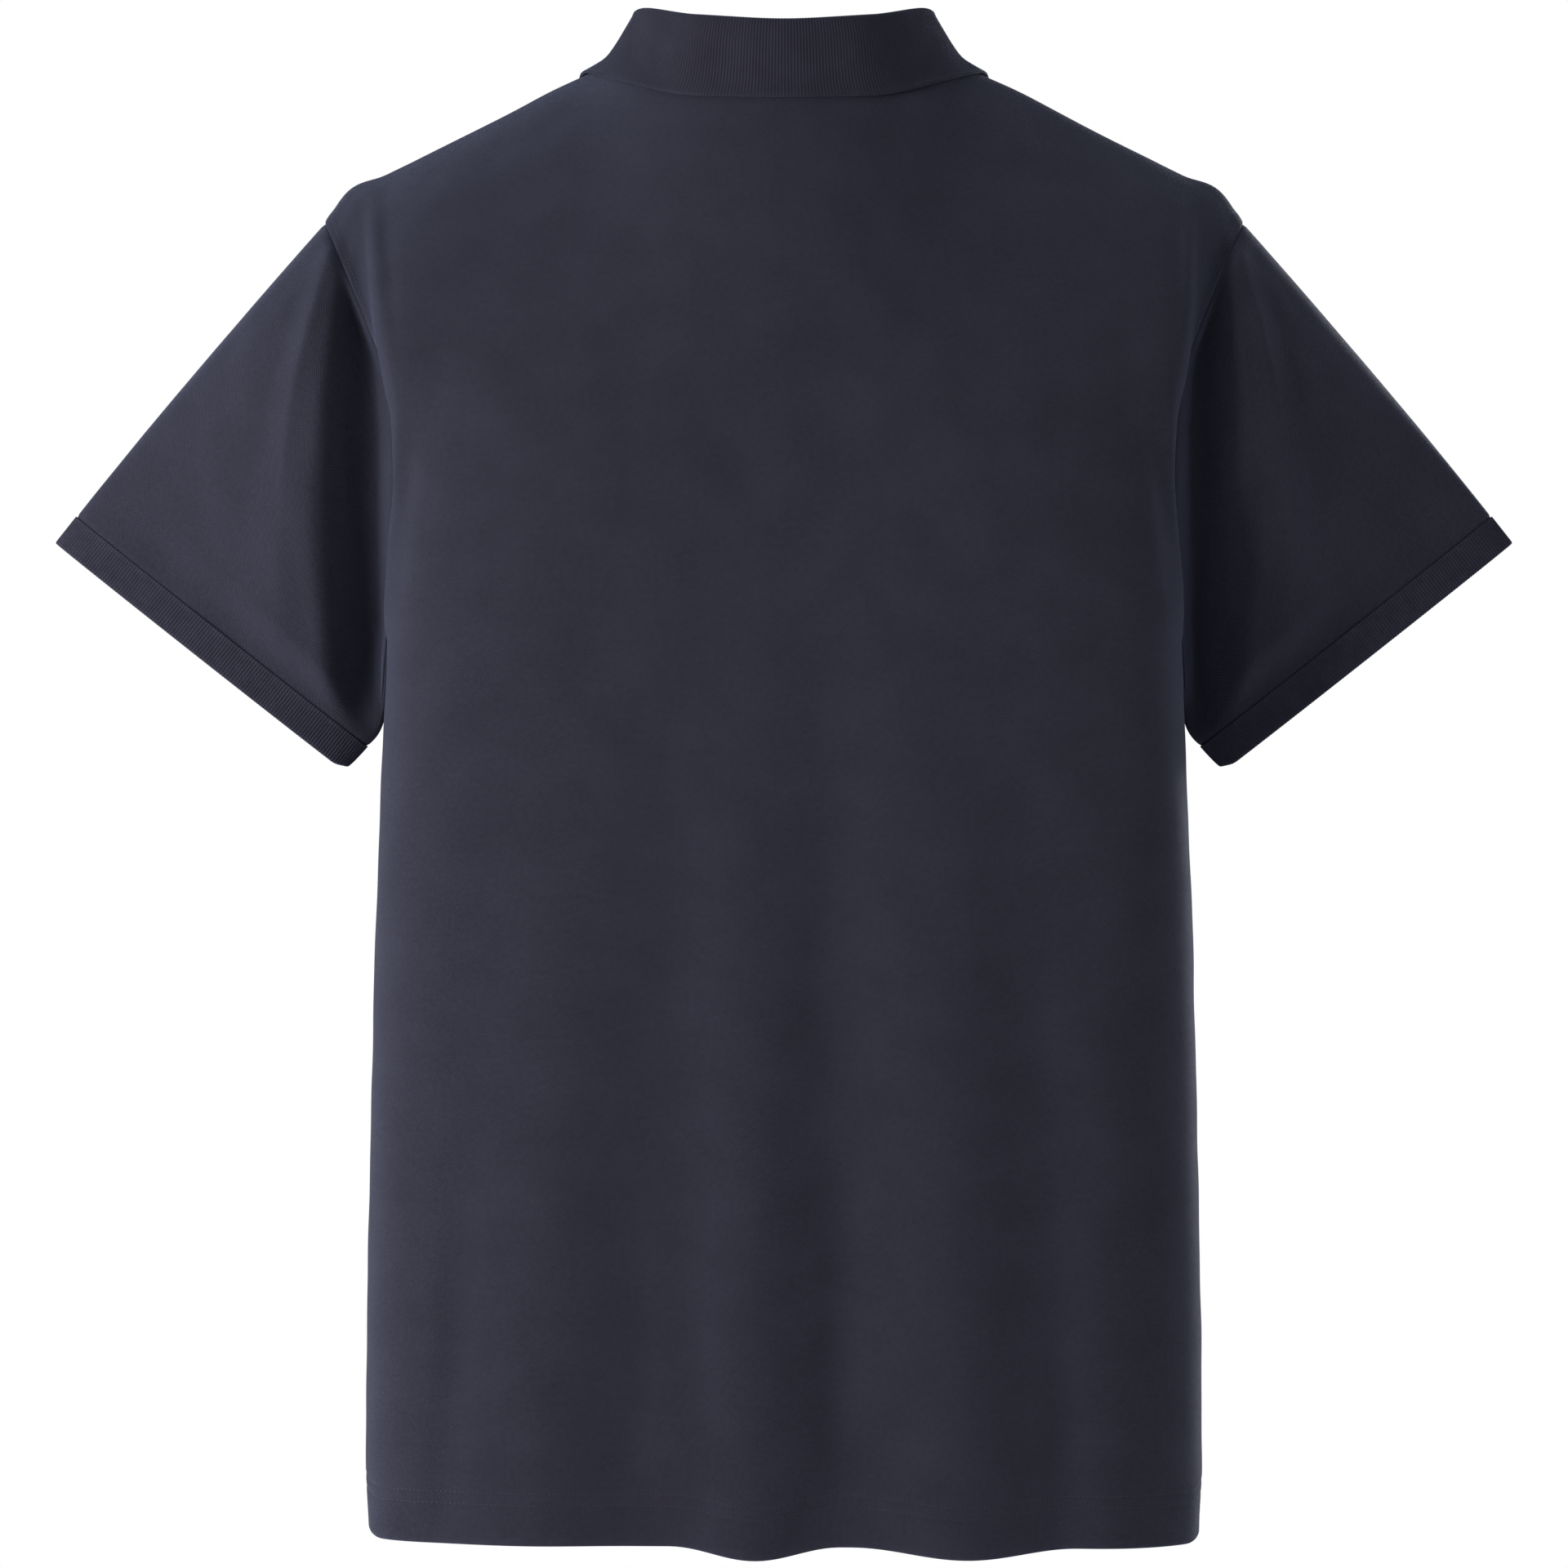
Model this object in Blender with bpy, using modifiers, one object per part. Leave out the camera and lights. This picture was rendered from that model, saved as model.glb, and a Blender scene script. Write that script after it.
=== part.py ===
"""Men's short-sleeved polo shirt in its worn, hollow form.

Two panels, two set-in sleeves with rib cuffs, a folded rib collar and a placket with three
buttons. +Z is up, the front faces -Y and +X is the wearer's left. The origin lies midway
between the neck points of the two shoulders. Sizes are in millimetres until a mesh is made.
"""

import math
from collections import namedtuple

import bmesh
import bpy
import numpy as np
from mathutils import Matrix, Vector
from mathutils.bvhtree import BVHTree

MM = 0.001

# Cloth
CLOTH_WALL = 1.3
HEM_WALL = 2.2
RIB_WALL = 1.7
SEAM_GAP = 0.3
LAYER_GAP = 0.3
ARMHOLE_GAP = 0.7
LONGEST_SLANT = 1.7
LEAST_SPREAD = 0.05
SHARP_ANGLE = 50.0

# Body
HEM_LEVEL = -719.0
HEM_TURN = 25.0
HEM_STEP = 1.5
UNDERARM_LEVEL = -258.0
UNDERARM_RISE = 30.0
RISE_WIDTH = 60.0
RISE_FADE = 150.0
SIDE_SEAM_Y = -4.0
BACK_SQUARENESS = 5.5
FRONT_SQUARENESS = 3.2
TUCK_FLAT = 20.0
TUCK_REACH = 56.0
HEM_WAVE_HEIGHT = 260.0
HEM_TILT = 1.4
FOLD_ONSET = 1.3
ARMHOLE_PULL = 8

# Neck and shoulders
NECK_HALF_WIDTH = 84.0
NECK_BACK_Y = 44.0
NECK_BACK_DROP = 22.0
NECK_BACK_CURVE = 1.6
NECK_FRONT_Y = -62.0
NECK_FRONT_DROP = 60.0
NECK_FRONT_CURVE = 1.5
SHOULDER_SEAM_Y = -16.0
SHOULDER_SEAM_DROP = 1.5
SEAM_DROP_CURVE = 8

# Sleeves
CUFF_TOP = (347.0, -226.0)
CUFF_BOTTOM = (204.5, -338.5)
CUFF_HALF_DEPTH = 17.0
CUFF_BLUNTNESS = 0.8
CUFF_CENTRE_Y = -5.0
CUFF_LENGTH = 16.5
CUFF_STEP = 0.4
SLEEVE_LEAVES_TOP = np.array([0.66, 0.0, -0.75])
SLEEVE_LEAVES_BOTTOM = np.array([0.82, 0.0, -0.57])
SLEEVE_FULLNESS = 0.25
SLEEVE_TROUGH_X = 205.0
SLEEVE_TROUGH_DEPTH = 8.0
SLEEVE_TROUGH_HALF_WIDTH = 19.0

# Collar
COLLAR_FOLD_RADIUS = 2.8
COLLAR_FRONT_X = 3.0
FALL_FULLNESS = 0.12
FLARE_AT_FOLD = 0.6
FALL_CLEARANCE = 1.7
FALL_CLEARANCE_GAIN = 1.0
EDGE_SMOOTHINGS = 3

# Placket and buttons
SLOT_HALF_WIDTH = 11.0
PLACKET_HALF_WIDTH = 16.0
PLACKET_LENGTH = 162.0
SLOT_MARGIN = 6.0
PLACKET_MARGIN = 4.0
PLACKET_TOP_TRIM = 0.6
STRIP_COLUMNS = np.array([0.0, SLOT_HALF_WIDTH, PLACKET_HALF_WIDTH])
BUTTON_COUNT = 3
BUTTON_RADIUS = 5.6
BUTTON_THICKNESS = 2.6
BUTTON_FIRST_DROP = 13.0
BUTTON_SPACING = 60.0
BUTTON_GAP = 0.6
BUTTON_HOLE_RADIUS = 0.75
BUTTON_HOLE_OFFSET = 1.9
BUTTON_SIDES = 20
BUTTON_HOLE_SIDES = 8

# How finely each piece is divided
NECK_COLUMNS = 7
SHOULDER_COLUMNS = 9
TIP_CROWDING = 1.4
SIDE_CROWDING = 1.12
BODY_ROWS = 16
BELOW_STRIP_ROWS = 3
ABOVE_STRIP_ROWS = 11
TOP_CROWDING = 1.35
SLEEVE_ROWS = 10
CUFF_ROWS = 2
STAND_ROWS = 2
FOLD_ROWS = 4
FALL_ROWS = 5
RING_SAMPLES = 241

# Level sections of the body, hem first
Section = namedtuple("Section", "level half_width back_depth front_depth side_tuck")
BODY_SECTIONS = (
    Section(-719, 202.5, 100, 108, 0),
    Section(-620, 202.0, 100, 108, 0),
    Section(-520, 200.0, 101, 109, 0),
    Section(-430, 198.0, 101, 109, 1),
    Section(-360, 195.5, 100, 108, 6),
    Section(-300, 193.5, 99, 107, 11),
    Section(-258, 192.5, 98, 106, 13),
)

# Across the shoulder blades and across the chest, from the centre to the armhole seam
Across = namedtuple("Across", "share x y z")
BLADE_SECTION = (
    Across(0.00, 0, 83, -148),
    Across(0.25, 48, 82, -148),
    Across(0.50, 96, 79, -149),
    Across(0.75, 161, 72, -154),
    Across(0.85, 186.5, 67, -160),
    Across(0.92, 191.5, 56, -166),
    Across(1.00, 187, 41.5, -173),
)
CHEST_SECTION = (
    Across(0.00, 0, -96, -174),
    Across(0.25, 42, -95, -171),
    Across(0.50, 92, -92, -162),
    Across(0.75, 158, -84, -160),
    Across(0.85, 184, -77, -163),
    Across(0.92, 190, -66, -168),
    Across(1.00, 187, -51.5, -173),
)

# The armhole seam, from the underarm up to the shoulder tip
Seam = namedtuple("Seam", "share x back_y front_y z")
ARMHOLE = (
    Seam(0.000, 180.0, -4.0, -4.0, -258.0),
    Seam(0.100, 178.5, 13.0, -23.0, -252.0),
    Seam(0.200, 177.5, 27.0, -37.0, -236.0),
    Seam(0.300, 178.5, 35.0, -45.0, -215.0),
    Seam(0.400, 181.5, 39.5, -49.5, -193.0),
    Seam(0.500, 187.0, 41.5, -51.5, -173.0),
    Seam(0.600, 192.5, 41.0, -51.5, -157.0),
    Seam(0.700, 199.5, 38.0, -50.0, -140.0),
    Seam(0.800, 207.0, 33.0, -47.0, -122.0),
    Seam(0.880, 213.5, 27.0, -42.0, -107.0),
    Seam(0.940, 220.0, 17.5, -35.0, -92.5),
    Seam(0.975, 224.5, 5.0, -26.0, -83.5),
    Seam(1.000, 226.0, -14.0, -14.0, -81.5),
)

# The ridge of the shoulder, from the neck point to the tip
Ridge = namedtuple("Ridge", "share x z")
SHOULDER_RIDGE = (
    Ridge(0.00, 84, 0.0),
    Ridge(0.10, 98, -8.0),
    Ridge(0.20, 112, -15.0),
    Ridge(0.35, 132, -26.4),
    Ridge(0.50, 152, -36.8),
    Ridge(0.80, 196, -57.6),
    Ridge(0.93, 216, -66.0),
    Ridge(1.00, 226, -80.0),
)

# How the columns of a panel run: up from the underarm level, and into the top edge
Run = namedtuple("Run", "share x y z")
BACK_START_RUNS = (
    Run(0.0, 0, -8, 270),
    Run(0.5, 0, -8, 270),
    Run(0.8, 40, 10, 240),
    Run(0.9, 45, 80, 130),
    Run(1.0, -8, 170, 40),
)
BACK_END_RUNS = (
    Run(0.0, 0, -95, 150),
    Run(0.25, -20, -120, 130),
    Run(0.5, -30, -190, -40),
    Run(0.75, 0, -190, -110),
    Run(1.0, 40, -160, -90),
)
FRONT_START_RUNS = (
    Run(0.0, 0, 10, 228),
    Run(0.5, 0, 10, 250),
    Run(0.8, 40, -10, 240),
    Run(0.9, 45, -80, 130),
    Run(1.0, -8, -170, 40),
)
FRONT_END_RUNS = (
    Run(0.0, 0, 70, 228),
    Run(0.25, -30, 90, 150),
    Run(0.5, -30, 190, 60),
    Run(0.75, 0, 170, 80),
    Run(1.0, 40, 130, 40),
)

# Soft folds that hang down the body: a crest's place at its start and at the hem
Fold = namedtuple("Fold", "start_level start_x hem_x height half_width hem_drop")
BACK_FOLDS = (
    Fold(-230, 92, 119, 5.0, 50, 0.0),
    Fold(-200, 18, 14, 6.5, 41, 6.0),
    Fold(-180, -58, -86, 7.5, 54, 5.0),
    Fold(-260, -150, -160, 3.5, 34, 0.0),
)
FRONT_FOLDS = (
    Fold(-280, 120, 146, 5.0, 46, 2.0),
    Fold(-300, 38, 52, 6.0, 44, 4.5),
    Fold(-320, -42, -44, 5.0, 40, 3.0),
    Fold(-260, -112, -136, 6.0, 50, 2.5),
)

# The collar strip: its fold, and its outer edge with that edge's lift off the panels
Collar = namedtuple("Collar", "share fold_x fold_y fold_z edge_x edge_y edge_z lift flare")
COLLAR_SECTIONS = (
    Collar(0.00, 0, 44, 11, 0, 48, -27, 1.2, 0.15),
    Collar(0.22, 43, 34, 15, 55, 42, -22, 1.2, 0.30),
    Collar(0.45, 72, -8, 22.5, 101, -9, -9.0, 1.5, 0.80),
    Collar(0.53, 71, -22, 18, 103, -33, -18, 1.5, 0.75),
    Collar(0.62, 65, -36, 8, 98, -58, -36, 1.6, 0.60),
    Collar(0.82, 37, -58, -22, 72, -84, -78, 2.2, 0.30),
    Collar(1.00, 3.5, -67, -46, 47, -92, -108, 2.6, 0.10),
)
BODY_CORE = np.array([0.0, -10.0, -150.0])

# A button's half section, as shares of its radius and thickness
Rim = namedtuple("Rim", "radius height")
BUTTON_PROFILE = (
    Rim(0.00, 0.00),
    Rim(0.80, 0.00),
    Rim(1.00, 0.40),
    Rim(0.96, 0.88),
    Rim(0.86, 1.00),
    Rim(0.70, 0.74),
    Rim(0.00, 0.74),
)

LEFT = np.array([1, 1, 1])
RIGHT = np.array([-1, 1, 1])

NAVY = (0.028, 0.027, 0.042, 1.0)
NAVY_RIB = (0.024, 0.023, 0.036, 1.0)
BUTTON_NAVY = (0.018, 0.018, 0.028, 1.0)


def unit(vectors):
    return vectors / np.linalg.norm(vectors, axis=-1, keepdims=True)


def hermite(start, end, start_run, end_run, part):
    """A cubic from start to end that leaves along start_run and arrives along end_run."""
    square, cube = part**2, part**3
    leaving = (2 * cube - 3 * square + 1) * start + (cube - 2 * square + part) * start_run
    arriving = (3 * square - 2 * cube) * end + (cube - square) * end_run
    return leaving + arriving


def through(table, where):
    """Reads a smooth curve through a table whose first column is the station."""
    table = np.asarray(table, float)
    stations, rows = table[:, 0], table[:, 1:]
    where = np.atleast_1d(np.asarray(where, float))
    slopes = np.gradient(rows, stations, axis=0)
    low = np.clip(np.searchsorted(stations, where, side="right") - 1, 0, len(stations) - 2)
    width = (stations[low + 1] - stations[low])[:, None]
    part = (where - stations[low])[:, None] / width
    return hermite(rows[low], rows[low + 1], slopes[low] * width, slopes[low + 1] * width, part)


def swell(distance):
    """A round crest: 1 in the middle, 0 from a distance of 1."""
    return np.cos(np.clip(distance, -1, 1) * math.pi / 2) ** 2


def ease(part):
    """Rises smoothly from 0 to 1."""
    part = np.clip(part, 0, 1)
    return part * part * (3 - 2 * part)


def body_ring(level, face):
    """Length of a level section from the centre to the side seam, with x and y along it."""
    half_width, back_depth, front_depth, side_tuck = through(BODY_SECTIONS, level)[0]
    depth = back_depth if face > 0 else front_depth
    power = BACK_SQUARENESS if face > 0 else FRONT_SQUARENESS
    turn = np.linspace(0, math.pi / 2, RING_SAMPLES)
    wide, deep = np.sin(turn) / half_width, np.cos(turn) / depth
    radius = (wide**power + deep**power) ** (-1 / power)
    across, away = radius * np.sin(turn), radius * np.cos(turn)
    across = across - side_tuck * ease((TUCK_REACH - away) / (TUCK_REACH - TUCK_FLAT))
    steps = np.hypot(np.diff(across), np.diff(away))
    length = np.concatenate([[0], np.cumsum(steps)])
    return length, across, SIDE_SEAM_Y + face * away


def body_row(level, shares, face):
    """A row of the body, level across the panel and rising to the underarm at the side."""
    left = (1 - shares) * body_ring(UNDERARM_LEVEL, face)[0][-1]
    top = UNDERARM_LEVEL - UNDERARM_RISE
    rise = UNDERARM_RISE * (1 - np.sin(np.clip(left / RISE_WIDTH, 0, 1) * math.pi / 2))
    levels = level + rise * ease(1 - (top - level) / RISE_FADE)
    row = []
    for share, height in zip(shares, levels):
        length, x, y = body_ring(height, face)
        along = share * length[-1]
        row.append((np.interp(along, length, x), np.interp(along, length, y), height))
    return np.array(row)


def neck_edge(face, share):
    """The neck seam from the centre (0) to the shoulder seam (1)."""
    turn = np.asarray(share) * math.pi / 2
    x = NECK_HALF_WIDTH * np.sin(turn)
    if face > 0:
        y = SHOULDER_SEAM_Y + (NECK_BACK_Y - SHOULDER_SEAM_Y) * np.cos(turn)
        z = -NECK_BACK_DROP * np.cos(turn) ** NECK_BACK_CURVE
    else:
        y = SHOULDER_SEAM_Y + (NECK_FRONT_Y - SHOULDER_SEAM_Y) * np.cos(turn)
        z = -NECK_FRONT_DROP * (1 - np.sin(turn) ** NECK_FRONT_CURVE)
    z -= SHOULDER_SEAM_DROP * np.sin(turn) ** SEAM_DROP_CURVE
    return np.stack([x, y, z], axis=-1)


def shoulder_seam(share):
    """The shoulder seam from the neck (0) to the tip (1), just forward of the ridge."""
    ridge = through(SHOULDER_RIDGE, share)
    tip_y = ARMHOLE[-1].back_y
    y = SHOULDER_SEAM_Y + (tip_y - SHOULDER_SEAM_Y) * np.asarray(share)
    return np.stack([ridge[:, 0], y, ridge[:, 1] - SHOULDER_SEAM_DROP], axis=-1)


def column_shares(face):
    """Where a panel's columns meet the ring at the underarm and the neck edge."""
    columns = NECK_COLUMNS + SHOULDER_COLUMNS
    neck_start, across_start = np.zeros(1), np.zeros(1)
    if face < 0:
        neck_start = np.arcsin(STRIP_COLUMNS / NECK_HALF_WIDTH) / (math.pi / 2)
        across_start = STRIP_COLUMNS / body_ring(UNDERARM_LEVEL, face)[0][-1]
    neck_rest = np.linspace(neck_start[-1], 1, NECK_COLUMNS + 2 - len(neck_start))[1:]
    left = np.linspace(1, 0, columns + 2 - len(across_start))[1:] ** SIDE_CROWDING
    across_rest = 1 - (1 - across_start[-1]) * left
    return np.concatenate([across_start, across_rest]), np.concatenate([neck_start, neck_rest])


def body_levels():
    """Levels of the rows from the hem to the underarm, with the step at the turned hem."""
    turn = HEM_LEVEL + HEM_TURN
    plain = np.linspace(turn + HEM_STEP, UNDERARM_LEVEL - UNDERARM_RISE, BODY_ROWS - 1)
    return np.concatenate([[HEM_LEVEL, turn], plain])


def yoke_shares():
    """Places of the rows from the underarm (0) to the top edge (1)."""
    height = UNDERARM_LEVEL - UNDERARM_RISE + NECK_FRONT_DROP
    strip_end = 1 + PLACKET_LENGTH / height
    slot_end = 1 + (PLACKET_LENGTH - SLOT_MARGIN) / height
    below = np.linspace(0, strip_end, BELOW_STRIP_ROWS + 1)
    left = np.linspace(1, 0, ABOVE_STRIP_ROWS + 1) ** TOP_CROWDING
    return np.concatenate([below, 1 - (1 - slot_end) * left])


def armhole_seam(face, share):
    """Points of the armhole seam of the back (face 1) or the front."""
    x, back_y, front_y, z = through(ARMHOLE, share).T
    return np.stack([x, back_y if face > 0 else front_y, z], axis=-1)


def half_panel(face):
    """Skin of the wearer's left half of a panel: rows from the hem up, columns outwards."""
    across, neck = column_shares(face)
    rows = [body_row(level, across, face) for level in body_levels()]
    start = rows[-1]
    blade = through(BLADE_SECTION if face > 0 else CHEST_SECTION, across)
    left = 1 - np.arange(1, SHOULDER_COLUMNS + 1) / SHOULDER_COLUMNS
    seam = shoulder_seam(1 - left**TIP_CROWDING)
    top = np.concatenate([neck_edge(face, neck), seam])
    start_run = through(BACK_START_RUNS if face > 0 else FRONT_START_RUNS, across)
    end_run = through(BACK_END_RUNS if face > 0 else FRONT_END_RUNS, across)
    pull = across[:, None] ** ARMHOLE_PULL
    for share in yoke_shares()[1:]:
        if share < 0.5:
            row = hermite(start, blade, start_run / 2, (top - start) / 2, share * 2)
        else:
            row = hermite(blade, top, (top - start) / 2, end_run / 2, share * 2 - 1)
        row += pull * (armhole_seam(face, share) - row[-1])
        if face < 0:
            row[: len(STRIP_COLUMNS), 0] = STRIP_COLUMNS
        rows.append(row)
    return np.array(rows)


def both_sides(half):
    """Mirrors a half panel, so that columns run from the right side to the left."""
    other = half[:, :0:-1] * (-1, 1, 1)
    return np.concatenate([other, half], axis=1)


def fold_relief(folds, skin):
    """How far the folds lift the skin, and how far they let the hem down."""
    x, z = skin[..., 0], skin[..., 2]
    lift, drop = np.zeros_like(x), np.zeros_like(x)
    for fold in folds:
        down = (fold.start_level - z) / (fold.start_level - HEM_LEVEL)
        crest = fold.start_x + (fold.hem_x - fold.start_x) * np.clip(down, 0, 1)
        shape = swell((x - crest) / fold.half_width)
        lift += fold.height * shape * ease(down * FOLD_ONSET)
        drop += fold.hem_drop * shape
    above_hem = np.clip((z - HEM_LEVEL) / HEM_WAVE_HEIGHT, 0, 1)
    tilt = -HEM_TILT * x / BODY_SECTIONS[0].half_width
    return lift, (drop + tilt) * (1 - ease(above_hem))


def surface_normals(skin, ring=False):
    """Unit normals of a grid of points, by the differences along its rows and columns."""
    down = np.gradient(skin, axis=0)
    if ring:
        along = np.roll(skin, -1, axis=1) - np.roll(skin, 1, axis=1)
    else:
        along = np.gradient(skin, axis=1)
    return unit(np.cross(along, down))


def make_panel(face):
    """The full skin of a panel and its outward normals."""
    skin = both_sides(half_panel(face))
    lift, drop = fold_relief(BACK_FOLDS if face > 0 else FRONT_FOLDS, skin)
    lift[:, [0, -1]] = 0
    skin[..., 1] += face * lift
    skin[..., 2] -= drop
    normals = surface_normals(skin)
    middle = normals.shape[1] // 2
    return skin, normals * np.sign(normals[BODY_ROWS // 2, middle, 1]) * face


def share_slants(pieces):
    """Where pieces meet, gives their walls one shared slant that keeps each wall's thickness."""
    meeting = {}
    for skin, slants in pieces:
        for point, slant in zip(skin.reshape(-1, 3), slants.reshape(-1, 3)):
            meeting.setdefault(tuple(np.round(point, 1)), []).append(slant)
    for slants in meeting.values():
        if len(slants) > 1:
            shared = np.linalg.pinv(np.array(slants), rcond=LEAST_SPREAD) @ np.ones(len(slants))
            shared *= min(1, LONGEST_SLANT / np.linalg.norm(shared))
            for slant in slants:
                slant[:] = shared


def arc_shares(points):
    """How far along its own line each point lies, from 0 to 1."""
    length = np.cumsum(np.linalg.norm(np.diff(points, axis=0), axis=-1))
    return np.concatenate([[0], length / length[-1]])


def make_sleeve(back, front, armhole_rows):
    """Skin of the left sleeve: ring columns from the tip down the back, up the front."""
    back_edge = back[armhole_rows:, -1][::-1]
    front_edge = front[armhole_rows:, -1]
    armhole = np.concatenate([back_edge, front_edge[1:-1]])
    count = len(armhole)
    turn = np.concatenate([arc_shares(back_edge), 1 + arc_shares(front_edge)[1:-1]]) * math.pi
    top, bottom = np.array(CUFF_TOP), np.array(CUFF_BOTTOM)
    centre, half = (top + bottom) / 2, (top - bottom) / 2
    cuff = np.stack([
        centre[0] + half[0] * np.cos(turn),
        CUFF_CENTRE_Y + CUFF_HALF_DEPTH * np.sign(np.sin(turn)) * abs(np.sin(turn)) ** CUFF_BLUNTNESS,
        centre[1] + half[1] * np.cos(turn),
    ], axis=-1)
    outlet = unit(np.array([half[1], 0, -half[0]]))
    span = np.linalg.norm(cuff - armhole, axis=-1, keepdims=True)
    sideways = np.stack([np.zeros(count), np.sin(turn), np.zeros(count)], axis=-1)
    leave = unit(SLEEVE_LEAVES_TOP * (1 + np.cos(turn))[:, None] / 2
                 + SLEEVE_LEAVES_BOTTOM * (1 - np.cos(turn))[:, None] / 2
                 + SLEEVE_FULLNESS * sideways)
    rows = []
    for part in np.linspace(0, 1, SLEEVE_ROWS + 1):
        row = hermite(armhole, cuff, leave * span, outlet * span, part)
        hollow = swell((row[:, 0] - SLEEVE_TROUGH_X) / SLEEVE_TROUGH_HALF_WIDTH)
        depth = SLEEVE_TROUGH_DEPTH * hollow * np.sin(turn) * swell(2 * part - 1)
        row[:, 1] -= depth
        rows.append(row)
    return np.array(rows), outlet


def make_cuff(sleeve, outlet):
    """Skin of the left cuff, a short tube on from the sleeve's last ring."""
    seam = sleeve[-1]
    centre = seam.mean(axis=0)
    out = unit(seam - centre) * CUFF_STEP
    rows = [seam + out + outlet * CUFF_LENGTH * part for part in np.linspace(0, 1, CUFF_ROWS + 1)]
    return np.array(rows)


def panel_surface(panels):
    """One surface of all the panels' skins, to find places on."""
    corners, quads = [], []
    for skin in panels:
        rows, columns = skin.shape[:2]
        index = np.arange(rows * columns).reshape(rows, columns) + len(corners)
        sides = (index[:-1, :-1], index[:-1, 1:], index[1:, 1:], index[1:, :-1])
        quads += np.stack(sides, axis=-1).reshape(-1, 4).tolist()
        corners += skin.reshape(-1, 3).tolist()
    return BVHTree.FromPolygons(corners, quads)


def off_panels(points, lifts, surface, only_near=False):
    """Seats points at their lifts off the panels; with only_near, those that are closer."""
    moved = []
    for point, lift in zip(points, np.broadcast_to(lifts, (len(points), 1))[:, 0]):
        place, normal = (np.array(found) for found in surface.find_nearest(Vector(point))[:2])
        normal *= np.sign(np.dot(normal, place - BODY_CORE))
        if abs(place[0]) < PLACKET_HALF_WIDTH + PLACKET_MARGIN and place[1] < SHOULDER_SEAM_Y:
            lift += LAYER_GAP + CLOTH_WALL
        clear = only_near and np.dot(point - place, normal) > lift
        moved.append(point if clear else place + normal * lift)
    return np.array(moved)


def halved(line):
    """A line of points with one more in the middle of each step."""
    between = (line[:-1] + line[1:]) / 2
    finer = np.empty((2 * len(line) - 1, line.shape[1]))
    finer[::2], finer[1::2] = line, between
    return finer


def collar_seam(back, front, back_inward, front_inward):
    """The collar's half of the neck seam, from the centre back to its front end."""
    middle = back.shape[1] // 2
    back_neck = slice(middle, middle + NECK_COLUMNS + 1)
    front_neck = slice(middle + NECK_COLUMNS - 1, middle, -1)
    seam = np.concatenate([back[-1, back_neck], front[-1, front_neck]])
    inward = np.concatenate([back_inward[-1, back_neck], front_inward[-1, front_neck]])
    turn = math.asin(COLLAR_FRONT_X / NECK_HALF_WIDTH) / (math.pi / 2)
    seam = np.concatenate([seam, [neck_edge(-1, turn)]])
    return halved(seam), halved(np.concatenate([inward, inward[-1:]]))


def make_collar(seam, inward, surface):
    """Skin of the collar's visible face, from the neck seam up the stand and down the fall."""
    share = arc_shares(seam)
    shape = through(COLLAR_SECTIONS, share)
    fold, edge, lift, flare = shape[:, 0:3], shape[:, 3:6], shape[:, 6:7], shape[:, 7:8]
    edge = off_panels(edge, lift + RIB_WALL, surface)
    for _ in range(EDGE_SMOOTHINGS):
        edge[1:-1] = (edge[:-2] + 2 * edge[1:-1] + edge[2:]) / 4
    outward = unit((edge - fold) * (1, 1, 0))
    up = np.array([0.0, 0.0, 1.0])
    centre = fold - up * COLLAR_FOLD_RADIUS
    stand_top = centre - outward * COLLAR_FOLD_RADIUS
    fall_top = centre + outward * COLLAR_FOLD_RADIUS
    base = seam + inward
    base += unit(stand_top - base) * SEAM_GAP
    rows = [base + (stand_top - base) * part for part in np.linspace(0, 1, STAND_ROWS + 1)]
    for angle in np.linspace(0, math.pi, FOLD_ROWS + 1)[1:]:
        turned = up * math.sin(angle) - outward * math.cos(angle)
        rows.append(centre + turned * COLLAR_FOLD_RADIUS)
    drop = np.linalg.norm(edge - fall_top, axis=-1, keepdims=True)
    start_run = ((FALL_FULLNESS + FLARE_AT_FOLD * flare) * outward - up) * drop
    end_run = unit(edge - fall_top + flare * outward * drop) * drop
    for part in np.linspace(0, 1, FALL_ROWS + 1)[1:]:
        row = hermite(fall_top, edge, start_run, end_run, part)
        clearance = lift + FALL_CLEARANCE_GAIN * (1 - part)
        least = RIB_WALL + np.minimum(FALL_CLEARANCE, clearance)
        rows.append(off_panels(row, least, surface, only_near=True))
    skin = both_sides(np.array(rows))
    normals = surface_normals(skin)
    normals *= np.sign(normals[-1, skin.shape[1] // 2, 1])
    back_face = -normals * RIB_WALL
    back_face[0] = np.concatenate([-inward[:0:-1] * (-1, 1, 1), -inward])
    return skin, back_face


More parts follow.
